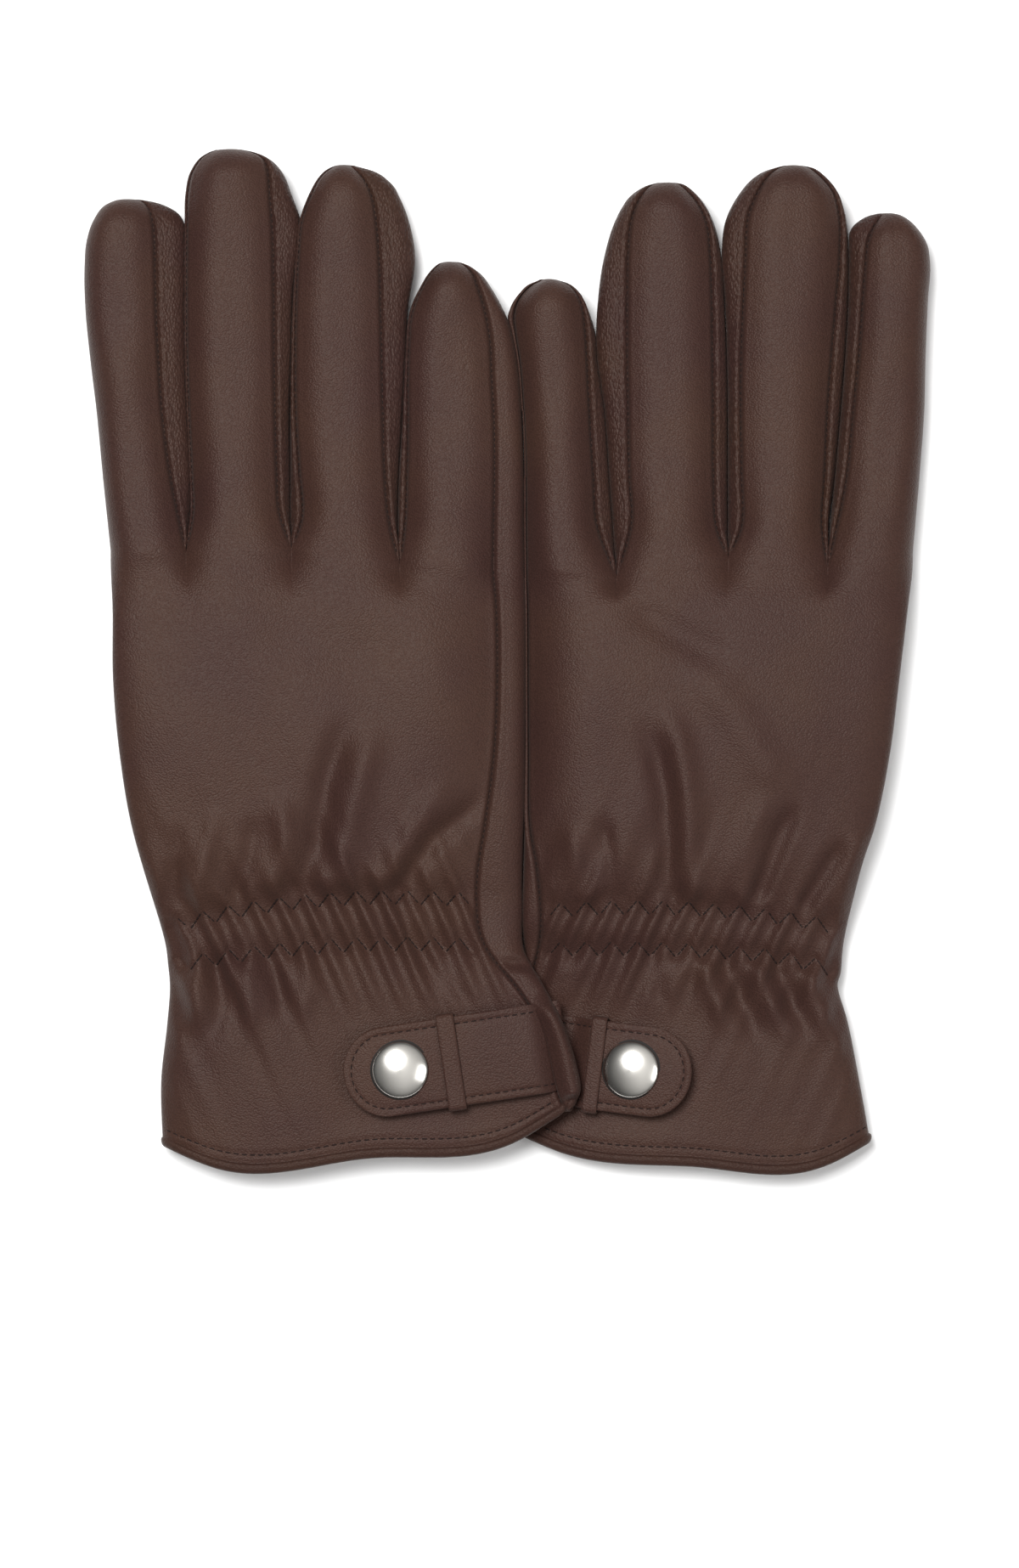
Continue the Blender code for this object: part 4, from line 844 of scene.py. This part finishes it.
def build_fingers(glove):
    for finger in FINGERS:
        back, right_wall, palm, left_wall = finger_sections(glove, finger)
        drive = finger_drive(glove, finger)
        shell(glove, finger + "_back", back, "leather", [finger + "_back"], drive)
        seams = []
        if finger != "little":
            names = finger + ("_fourchette" if finger == "index" else "_fourchette_ulnar")
            shell(glove, names, right_wall, "fourchette", [names], drive)
            shell(glove, finger + "_palm", palm, "leather", [finger + "_palm"], drive)
        else:
            whole = np.concatenate([right_wall, palm[:, 1:]], axis=1)
            shell(glove, finger + "_palm", whole, "leather", [finger + "_palm"], drive)
        if finger != "index":
            names = finger + ("_fourchette" if finger == "little" else "_fourchette_radial")
            shell(glove, names, left_wall, "fourchette", [names], drive)
            seams += [back[3:-4, 0], palm[3:-4, -1]]
        seams += [back[3:-4, -1], palm[3:-4, 0]] if finger != "little" else [back[1:-4, -1]]
        paths = [(seam, upward(seam) * (1 if i != 1 and i != 3 else -1)) for i, seam in enumerate(seams)]
        stitches(glove, finger + "_seam_stitches", paths, drive, *SEAM_STITCH)


def hand_grids(glove):
    v_rows = np.concatenate(
        [np.linspace(-119.2, -104, 24), np.linspace(-104, -50, 88)[1:], np.linspace(-50, ROW_Y[-1], 84)[1:]]
    )
    layout = [glove.borders[0]]
    for a, b, w in zip(glove.borders, glove.borders[1:], glove.nodes):
        layout.extend((a + (b - a) * w)[1:])
    layout = np.array(layout)
    share = (layout - layout[0]) / (layout[-1] - layout[0])
    root_line = np.interp(layout, glove.borders, glove.root_y)
    ends = [finger_sections(glove, finger) for finger in FINGERS]
    root_back = np.concatenate([ends[0][0][0]] + [end[0][0][1:] for end in ends[1:]])
    root_palm = np.concatenate([ends[-1][1][0]] + [end[2][0][1:] for end in reversed(ends)])
    wall_count = ends[-1][1].shape[1]
    turn = (0.5 - 0.5 * np.cos(np.linspace(0, np.pi, wall_count))) * np.pi
    backs, palms, uppers, lowers, hems = [], [], [], [], []
    back_y, palm_y, strengths = [], [], []
    for v in v_rows:
        left, seam, right = glove.edges(v)
        right += 0.3 * ease((v + 72) / 6) + 0.5 * bell(v + 64, 9)
        _, seam_z, edge_z, fold_z, _, _ = spline(ROW_Y, glove.heights, v)[0]
        strength = ease((v - 8) / 17.5) ** 2.8
        x = left + (seam - left) * share
        z = glove.top(v, x)
        y = glove.row_y(v, x)
        if v > ROOT_ROW:
            y = y + (root_line - y) * (v - ROOT_ROW) / (ROW_Y[-1] - ROOT_ROW)
        backs.append(np.stack([x, z], 1))
        back_y.append(y)
        tuck = min(6.0, edge_z - glove.floor(v, right - 6)[()] + 2.0)
        low_z = glove.floor(v, right - tuck)
        first = turn <= np.pi / 2
        wall_x = np.where(first, seam + (right - seam) * np.sin(turn), right - tuck * (1 - np.sin(turn)))
        over_strap = 3.4 * ease((-80 - v) / 6) * ease((v + 113) / 6) if glove.side > 0 else 0.0
        crease = 1.5 * bell(v + 73.5, 1.3) if glove.side > 0 else 0.0
        bulge = (0.9 + over_strap - crease) * np.sin(2 * np.clip(turn, 0, np.pi / 2)) ** 0.8
        down = low_z + (edge_z - low_z) * (1 - np.sin(np.clip(turn - np.pi / 2, 0, np.pi / 2)))
        wall_z = np.where(first, edge_z + (seam_z - edge_z) * np.abs(np.cos(turn)) ** 0.7 + bulge, down)
        under_x = (right - tuck) + (left - right + tuck) * (1 - share[::-1])
        under_z = glove.floor(v, under_x)
        under_z = under_z + (fold_z - under_z) * round_fall((under_x - left) / 6.0)
        px = np.concatenate([wall_x, under_x[1:]])
        pz = np.concatenate([wall_z, under_z[1:]])
        py = glove.row_y(v, px)
        if v > ROOT_ROW:
            py = py + (root_palm[:, 1] - py) * (v - ROOT_ROW) / (ROW_Y[-1] - ROOT_ROW)
        palms.append(np.stack([px, pz], 1))
        palm_y.append(py)
        strengths.append(strength)
        for store, row in ((uppers, UPPER_ROW), (lowers, LOWER_ROW), (hems, HEM_ROW)):
            l2, _, r2 = glove.edges(row)
            store.append(glove.row_y(row, l2 + (r2 - l2) * (x - left) / (right - left)))
    strengths = np.array(strengths)[:, None]
    backs = seam_edges(np.array(backs), (0, 0.0), (-1, 0.15))
    palms = seam_edges(np.array(palms), (-1, 0.35), (0, 0.0))
    back = np.stack([backs[..., 0], np.array(back_y), backs[..., 1]], 2)
    palm = np.stack([palms[..., 0], np.array(palm_y), palms[..., 1]], 2)
    for grid, root in ((back, root_back), (palm, root_palm)):
        for axis in (0, 2):
            grid[..., axis] += (root[:, axis] - grid[..., axis]) * strengths
    x, y = back[..., 0], back[..., 1]
    edge = ease((x - x[:, :1]) / 4) * (0.25 + 0.75 * ease((x[:, -1:] - x) / 3))
    calm = 1 - ease((strengths - 0.85) / 0.15)
    back[..., 2] += glove.relief(x, y, np.array(uppers), np.array(lowers), np.array(hems)) * edge * calm
    back[-1], palm[-1] = root_back, root_palm
    palm[:, -1], palm[:, 0] = back[:, 0], back[:, -1]
    return back, palm


def build_hand(glove):
    back, palm = hand_grids(glove)
    shell(glove, "hand_back", back, "leather", ["hand_back"], glove.hand)
    shell(glove, "hand_palm", palm, "leather", ["hand_palm", "strap_anchor"], glove.hand)
    rows, columns = back.shape[:2]
    tree = BVHTree.FromPolygons(back.reshape(-1, 3).tolist(), grid_faces(rows, columns))

    def drop(x, y):
        """Points of the back below each (x, y), with the leather's normal there."""
        found, ups = [], []
        for a, b in zip(x, y):
            hit = tree.ray_cast(Vector((a, b, HAND_TOP)), Vector((0, 0, -1)))
            if hit[0] is None:
                continue
            found.append(hit[0][:])
            ups.append(hit[1][:])
        return np.array(found), np.array(ups)

    seam = back[2:-1, -1]
    stitches(glove, "side_seam_stitches", [(seam, upward(seam))], glove.hand, *SEAM_STITCH)
    for name, row in (("zigzag_upper", UPPER_ROW), ("zigzag_lower", LOWER_ROW)):
        left, side_seam, _ = glove.edges(row)
        start = math.ceil((left + 3.0) / ZIGZAG_PITCH * 2) * ZIGZAG_PITCH / 2
        corners = np.arange(start, side_seam - 0.8, ZIGZAG_PITCH / 2)
        paths = []
        for a, b in zip(corners, corners[1:]):
            x = np.linspace(a + 0.15, b - 0.15, 9)
            points, ups = drop(x, glove.row_y(row, x) + zigzag(x, 0.0))
            if len(points) > 5:
                paths.append((points, ups))
        stitches(glove, name, paths, glove.hand, 0.2, 1.14, 0.16, 0.06, [name])
    left, side_seam, _ = glove.edges(HEM_ROW + 1)
    x = np.linspace(left + 1.0, side_seam - 0.6, 140)
    points, ups = drop(x, glove.row_y(HEM_ROW, x) + 4.6)
    stitches(glove, "hem_stitches", [(points, ups)], glove.hand, 0.17, 1.3, 0.7, 0.06)
    return back, palm


def build_cuff(glove, back, palm):
    """The binding round the cuff's edge, and the lining inside."""
    loop = np.concatenate([back[0], palm[0][1:-1]])[:, [0, 2]]
    loop = loop[::2]
    step = np.linalg.norm(np.roll(loop, -1, 0) - loop, axis=1)
    loop = loop[step > 0.05]
    ahead = np.roll(loop, -1, 0) - np.roll(loop, 1, 0)
    ahead /= np.linalg.norm(ahead, axis=1)[:, None]
    out = np.stack([-ahead[:, 1], ahead[:, 0]], axis=1)
    hem = glove.row_y(HEM_ROW, loop[:, 0])
    profile = [
        (-0.55, 2.6), (-0.05, 2.45), (0.28, 2.2), (0.42, 1.75), (0.38, 1.15), (0.2, 0.6), (-0.1, 0.2),
        (-0.6, 0.0), (-1.1, 0.05), (-1.5, 0.4), (-1.7, 1.0), (-1.75, 2.2), (-1.75, 3.6), (-1.6, 4.4),
    ]
    rows = []
    for push, rise in profile:
        at = loop + push * out
        rows.append(np.stack([at[:, 0], hem + rise, np.maximum(at[:, 1], 0.55)], axis=1))
    grid = np.array(rows)[::-1]
    faces = grid_faces(len(rows), len(loop), wrap=True)
    obj = piece(glove, "cuff_binding", grid.reshape(-1, 3), [tuple(reversed(f)) for f in faces], "binding")
    attach(obj, glove, ["cuff_binding"], glove.hand)
    rows = []
    for v in (-117, -112, -106, -98, -90, -82, -76, -70, -64, -56, -48, -36, -24, -12, 0, 4):
        left, seam, right = glove.edges(v)
        high = right - 3.2
        x = np.linspace(left + 2.2, high, 40)
        up = glove.top(v, np.minimum(x, seam)) - 3.9
        down = glove.floor(v, x) + 1.6
        _, seam_z, edge_z, _, _, _ = spline(ROW_Y, glove.heights, v)[0]
        up = np.minimum(up, edge_z + (seam_z - edge_z) * 0.9 - 1.2 + (high - x) * 1.2)
        middle = (up + down) / 2
        inward = np.minimum(1, np.minimum(x - left - 2.2, high - x) / 4)
        tight = np.sqrt(np.clip(1 - (1 - inward) ** 2, 0, 1))
        up, down = middle + (up - middle) * tight, middle + (down - middle) * tight
        ring = np.concatenate([np.stack([x, up], 1), np.stack([x[::-1], down[::-1]], 1)[1:-1]])
        y = glove.row_y(v, ring[:, 0]) + (1.5 if v == -117 else 0)
        rows.append(np.stack([ring[:, 0], y, ring[:, 1]], axis=1))
    grid = np.array(rows)
    points = np.concatenate([grid.reshape(-1, 3), grid[-1].mean(axis=0)[None]])
    count = grid.shape[1]
    faces = [tuple(reversed(f)) for f in grid_faces(len(rows), count, wrap=True)]
    last = (len(rows) - 1) * count
    faces += [(last + c, len(points) - 1, last + (c + 1) % count) for c in range(count)]
    obj = piece(glove, "hand_lining", points, faces, "lining")
    attach(obj, glove, ["hand_lining"], glove.hand)
    left, seam, _ = glove.edges(-64)
    x = np.linspace(left + 14, seam - 14, 60)
    rows = []
    for v in np.linspace(-70, -58, 7):
        z = glove.top(v, x) - 2.4 + 0.12 * np.sin(x * 2.4)
        rows.append(np.stack([x, glove.row_y(v, x), z], axis=1))
    grid = np.array(rows)
    obj = piece(glove, "elastic_band", grid.reshape(-1, 3), grid_faces(7, 60), "elastic")
    attach(obj, glove, ["elastic_band"], glove.hand)


def build_thumb(glove):
    """The thumb stall, flattened under the palm, seamed along its inner edge."""
    root_x, tip_x = THUMB_PLACES[glove.name]
    around = np.linspace(0, 2 * np.pi, 49)
    rows = []
    places = np.concatenate([np.linspace(0, 0.7, 26), 0.7 + 0.3 * np.sin(np.linspace(0, np.pi / 2, 22))[1:]])
    for at in places:
        y = THUMB_ROOT_Y + (THUMB_TIP_Y - THUMB_ROOT_Y) * at
        end = math.sqrt(max(0.0, 1 - max(0.0, (at - 0.7) / 0.3) ** 2))
        x = root_x + (tip_x - root_x) * at
        half = (THUMB_HALF - 1.5 * at) * end
        tall = (THUMB_TOP - 0.5) / 2 * (0.25 + 0.75 * end) if end > 0 else 0.0
        cos, sin = np.cos(-around), np.sin(-around)
        ring_x = x + half * np.sign(cos) * np.abs(cos) ** 0.75
        ring_y = np.full(len(around), y)
        ring_z = THUMB_MID + tall * np.sign(sin) * np.abs(sin) ** 0.62
        swell = 0.22 * wobble(ring_x, ring_y, glove.seed + 30, 18.0)
        ring_z = ring_z + swell * end * (1 - 0.7 * (sin > 0))
        sewn = max(0.0, 1 - at / 0.16) ** 2
        ring_z = ring_z * (1 - sewn) + (8.35 + (ring_z - THUMB_MID) * 0.06) * sewn
        rows.append(np.stack([ring_x, ring_y, ring_z], axis=1))
    grid = np.array(rows)
    pull = -0.5 * bell(np.abs(around - np.pi), 0.10)[None, :, None]
    centre = grid.mean(axis=1, keepdims=True)
    away = grid - centre
    away /= np.maximum(np.linalg.norm(away, axis=2, keepdims=True), 1e-9)
    grid = grid + away * pull * ease((1 - places) / 0.1)[:, None, None]
    grid[:, -1] = grid[:, 0]
    pivot = glove.place([[root_x, THUMB_ROOT_Y + along, THUMB_MID] for along in (1.0, 13.0)])
    drive = (glove.hand, glove.name + "_thumb_stall", tuple(pivot[0]), tuple(pivot[1]))
    shell(glove, "thumb", grid, "leather", ["thumb"], drive)
    seam = grid[1:-3, 24]
    path = (seam, np.tile([-1.0, 0, 0.0], (len(seam), 1)))
    stitches(glove, "thumb_stitches", [path], drive, 0.2, 0.8, 0.6, 0.12)


class StrapFrame:
    """The snap's own axes: along the strap towards its tip, across it, and up from the cuff."""

    def __init__(self, glove, strap):
        x, y, heading, tilt, height, self.tip, self.hinge = strap
        turn, lean = math.radians(heading), math.radians(tilt)
        self.tail = 6.5 if glove.side > 0 else 11.0
        self.origin = np.array([x, y, height])
        level = math.cos(lean)
        self.along = np.array([math.cos(turn) * level, math.sin(turn) * level, math.sin(lean)])
        self.across = np.array([-math.sin(turn), math.cos(turn), 0.0])
        self.up = np.cross(self.along, self.across)
        if self.up[2] < 0:
            self.up = -self.up

    def dip(self, along):
        """How far the strap sinks towards its sewn end, out of sight."""
        return 3.2 * ease((-along - self.hinge + 1.5) / 6)

    def at(self, along, across, up):
        along, across, up = np.broadcast_arrays(*(np.asarray(k, float) for k in (along, across, up)))
        flat = self.origin + along[..., None] * self.along + across[..., None] * self.across
        return flat + up[..., None] * self.up


def turned(glove, at, name, profile, material, drive, nodes, steps=64):
    """A solid turned about the snap's axis from (radius, height) points."""
    turn = np.linspace(0, 2 * np.pi, steps, endpoint=False)
    grid = np.array([at.at(r * np.cos(turn), r * np.sin(turn), np.full(steps, h)) for r, h in profile])
    obj = piece(glove, name, grid.reshape(-1, 3), grid_faces(len(profile), steps, wrap=True), material)
    attach(obj, glove, nodes, drive)


def outline(at, inset, count=26):
    """The strap's outline, that far in from its edge: hinge end, one side, round nose, other side."""
    nose, half = max(STRAP_NOSE - inset, 0.01), max(STRAP_HALF - inset, 0.01)
    centre = at.tip - STRAP_NOSE
    side = np.linspace(-at.hinge - at.tail, centre, 40)
    turn = np.linspace(0, np.pi, count)
    along = np.concatenate([side, centre + nose * np.sin(turn)[1:-1], side[::-1]])
    wide = np.concatenate([np.full(40, half), half * np.cos(turn)[1:-1], np.full(40, -half)])
    return along, wide


def ply(glove, at, name, low, high, shrink, drive):
    """One layer of the strap with soft edges and, where the stitches run, a shallow groove."""
    rings = []
    body = high - low
    for inset, height in (
        (STRAP_HALF, low), (3.0, low), (0.5, low), (0.12, low + 0.1), (0.0, low + 0.3 * body),
        (0.0, low + 0.6 * body), (0.1, low + 0.83 * body), (0.3, high - 0.04), (0.7, high + 0.03),
        (1.25, high + 0.02), (1.6, high - 0.05), (1.9, high - 0.2), (2.2, high - 0.05), (2.6, high + 0.04),
        (3.6, high + 0.1), (5.5, high + 0.16), (8.0, high + 0.2), (STRAP_HALF, high + 0.2),
    ):
        along, wide = outline(at, inset + shrink)
        wave = 0.10 * wobble(along, wide, glove.seed + 50, 16.0) * (height > high - 0.1)
        rings.append(at.at(along, wide, height + wave - at.dip(along)))
    grid = np.array(rings)
    count = grid.shape[1]
    faces = [tuple(reversed(f)) for f in grid_faces(len(rings), count)]
    faces.append(tuple(r * count for r in range(len(rings))))
    faces.append(tuple((r + 1) * count - 1 for r in reversed(range(len(rings)))))
    obj = piece(glove, name, grid.reshape(-1, 3), faces, "leather")
    attach(obj, glove, [name], drive)


def build_strap(glove, strap, keeper_place):
    at = StrapFrame(glove, strap)
    body = glove.name + "_strap_assembly"
    bend = (-0.5, 4.5) if glove.side > 0 else (-4.0, 0.2)
    base = glove.place([at.at(-at.hinge + place, 0, 1.5) for place in bend])
    drive = (glove.hand, body, tuple(base[0]), tuple(base[1]))
    ply(glove, at, "strap_backing", STRAP_LOW, STRAP_LOW + PLY, 0.25, drive)
    ply(glove, at, "strap", STRAP_LOW + PLY + 0.06, STRAP_TOP, 0.0, drive)
    along, wide = outline(at, 1.9)
    path = at.at(along, wide, STRAP_TOP - 0.12 - at.dip(along))
    stitches(glove, "strap_stitches", [(path, np.tile(at.up, (len(path), 1)))], drive, 0.16, 1.25, 0.75, 0.02)
    cap = [
        (0.01, 0.1), (5.9, 0.1), (6.5, 0.25), (6.78, 0.6), (6.8, 0.8), (6.7, 1.02), (6.45, 1.22), (6.1, 1.42),
        (5.6, 1.65), (4.8, 1.97), (3.8, 2.28), (2.6, 2.55), (1.3, 2.73), (0.01, 2.8),
    ]
    ring = [(7.3, 0.14), (7.1, 0.22), (6.0, 0.22)]
    socket_back = [(4.8, 0.3), (4.8, -0.1), (4.4, -0.3), (3.1, -0.35), (2.9, -0.25), (2.7, 0.3), (0.01, 0.3)]
    stud = [
        (4.6, -0.2), (4.6, 0.05), (4.2, 0.2), (2.6, 0.2), (2.5, 0.5), (2.65, 0.8), (2.3, 1.05), (1.2, 1.15),
        (0.01, 1.15),
    ]
    post = [(0.01, -2.3), (3.4, -2.3), (3.6, -2.1), (3.4, -1.95), (0.01, -1.95)]
    for name, base_z, profile, material, drive, nodes in (
        ("snap_cap", STRAP_TOP, cap, "nickel", body, ["snap_cap"]),
        # A thin flat ring round the cap's base in the near-black material: painted shadow under the cap's rim.
        ("snap_shadow_ring", STRAP_TOP, ring, "gap", body, []),
        ("snap_socket", STRAP_LOW, socket_back, "nickel", body, ["snap_socket"]),
        ("snap_stud", 0.0, stud, "nickel", glove.hand, ["snap_stud"]),
        ("snap_post", 0.0, post, "nickel", glove.hand, ["snap_post"]),
    ):
        profile = [(radius, base_z + height) for radius, height in profile]
        turned(glove, at, name, profile, material, drive, nodes)
    build_keeper(glove, at, keeper_place)


def build_keeper(glove, at, keeper_place):
    """The loop round the strap: a rounded box section, thickened outwards."""
    section = []
    half, low_z, high_z = STRAP_HALF + 0.35, 0.45, STRAP_TOP + 0.42
    corner = 0.7
    for cx, cz, start in (
        (half - corner, high_z - corner, 0), (-half + corner, high_z - corner, 90),
        (-half + corner, low_z + corner, 180), (half - corner, low_z + corner, 270),
    ):
        for turn in np.radians(np.linspace(start, start + 90, 9)):
            cos, sin = math.cos(turn), math.sin(turn)
            section.append((cx + corner * cos, cz + corner * sin, cos, sin))
    section = np.array(section)
    dense = []
    for i in range(len(section)):
        a, b = section[i], section[(i + 1) % len(section)]
        steps = 24 if abs(a[0] - b[0]) > 5 else 1
        dense.extend(a + (b - a) * t for t in np.linspace(0, 1, steps, endpoint=False))
    section = np.array(dense)
    rows = []
    narrow = 1.0 if glove.side > 0 else 0.85
    across, up, out_across, out_up = section.T
    for shift, push in (
        (-1.9, -0.02), (-2.15, 0.1), (-2.2, 0.35), (-2.0, 0.55), (-1.6, 0.62), (-0.8, 0.65),
        (0.8, 0.65), (1.6, 0.62), (2.0, 0.55), (2.2, 0.35), (2.15, 0.1), (1.9, -0.02),
    ):
        thick = np.where(up < 1.0, min(push, 0.08), push)
        rows.append(at.at(-keeper_place + shift * narrow, across + thick * out_across, up + thick * out_up))
    rows.append(rows[0])
    grid = np.array(rows)
    faces = [tuple(reversed(f)) for f in grid_faces(len(rows), len(section), wrap=True)]
    obj = piece(glove, "keeper_loop", grid.reshape(-1, 3), faces, "leather")
    attach(obj, glove, ["keeper_loop"], glove.name + "_keeper")


def set_stage():
    """A pale floor, soft studio light, and the camera looking straight down."""
    bpy.ops.mesh.primitive_plane_add(size=6, location=(0, 0, -0.0004))
    floor = bpy.context.object
    floor.name = "floor"
    _, shader = new_material("floor")
    socket(shader, "Base Color", (0.93, 0.93, 0.93, 1))
    socket(shader, "Roughness", 1.0)
    socket(shader, "Specular IOR Level", 0.0)
    floor.data.materials.append(MATERIALS["floor"])
    scene = bpy.context.scene
    world = bpy.data.worlds.new("studio")
    scene.world = world
    world.use_nodes = True
    tree = world.node_tree
    background = tree.nodes["Background"]
    place = add(tree, "TexCoord", {}, {})
    parts = add(tree, "SeparateXYZ", {}, {0: place.outputs["Generated"]})
    sides = []
    for axis, low, high, least, most in (("Z", 0.5, 1.0, 0.14, 0.95), ("X", -0.6, 0.1, 0.4, 1.0)):
        values = {"From Min": low, "From Max": high, "To Min": least, "To Max": most}
        sides.append(add(tree, "MapRange", values, {"Value": parts.outputs[axis]}).outputs["Result"])
    both = add(tree, "Math", {}, {0: sides[0], 1: sides[1]}, operation="MULTIPLY")
    tree.links.new(both.outputs["Value"], background.inputs["Strength"])
    socket(background, "Color", (1.0, 0.99, 0.98, 1))
    for name, place, size, power in (
        ("overhead", (-0.30, 0.34, 1.40), 0.55, 25.5),
        ("side", (0.9, -0.3, 0.9), 0.6, 4.0),
    ):
        light = bpy.data.lights.new(name, "AREA")
        light.shape = "SQUARE"
        light.size = size
        light.energy = power
        lamp = bpy.data.objects.new(name, light)
        lamp.location = place
        lamp.rotation_euler = (-Vector(place)).to_track_quat("-Z", "Y").to_euler()
        scene.collection.objects.link(lamp)
    lens = bpy.data.cameras.new("camera")
    lens.lens = 120
    lens.sensor_width = 36
    lens.dof.use_dof = False
    camera = bpy.data.objects.new("camera", lens)
    camera.location = (0.00073, -0.0299, 1.2797)
    scene.collection.objects.link(camera)
    scene.camera = camera
    scene.view_settings.view_transform = "Standard"


make_materials()
right_glove = Glove(
    "right", 1, RIGHT_ROWS, RIGHT_HEIGHTS, RIGHT_SEAM_ROLL, RIGHT_CROTCHES, RIGHT_ROOT_Y, RIGHT_FINGERS,
    RIGHT_FOLDS, RIGHT_LITTLE_SEAM, 3,
)
left_glove = Glove(
    "left", -1, LEFT_ROWS, LEFT_HEIGHTS, LEFT_SEAM_ROLL, LEFT_CROTCHES, LEFT_ROOT_Y, LEFT_FINGERS,
    LEFT_FOLDS, LEFT_LITTLE_SEAM, 8,
)
for glove, strap in ((right_glove, RIGHT_STRAP), (left_glove, LEFT_STRAP)):
    hand_back, hand_palm = build_hand(glove)
    build_fingers(glove)
    build_cuff(glove, hand_back, hand_palm)
    build_thumb(glove)
    share_normals(glove)
    build_strap(glove, strap, KEEPER_PLACE[glove.name])
set_stage()
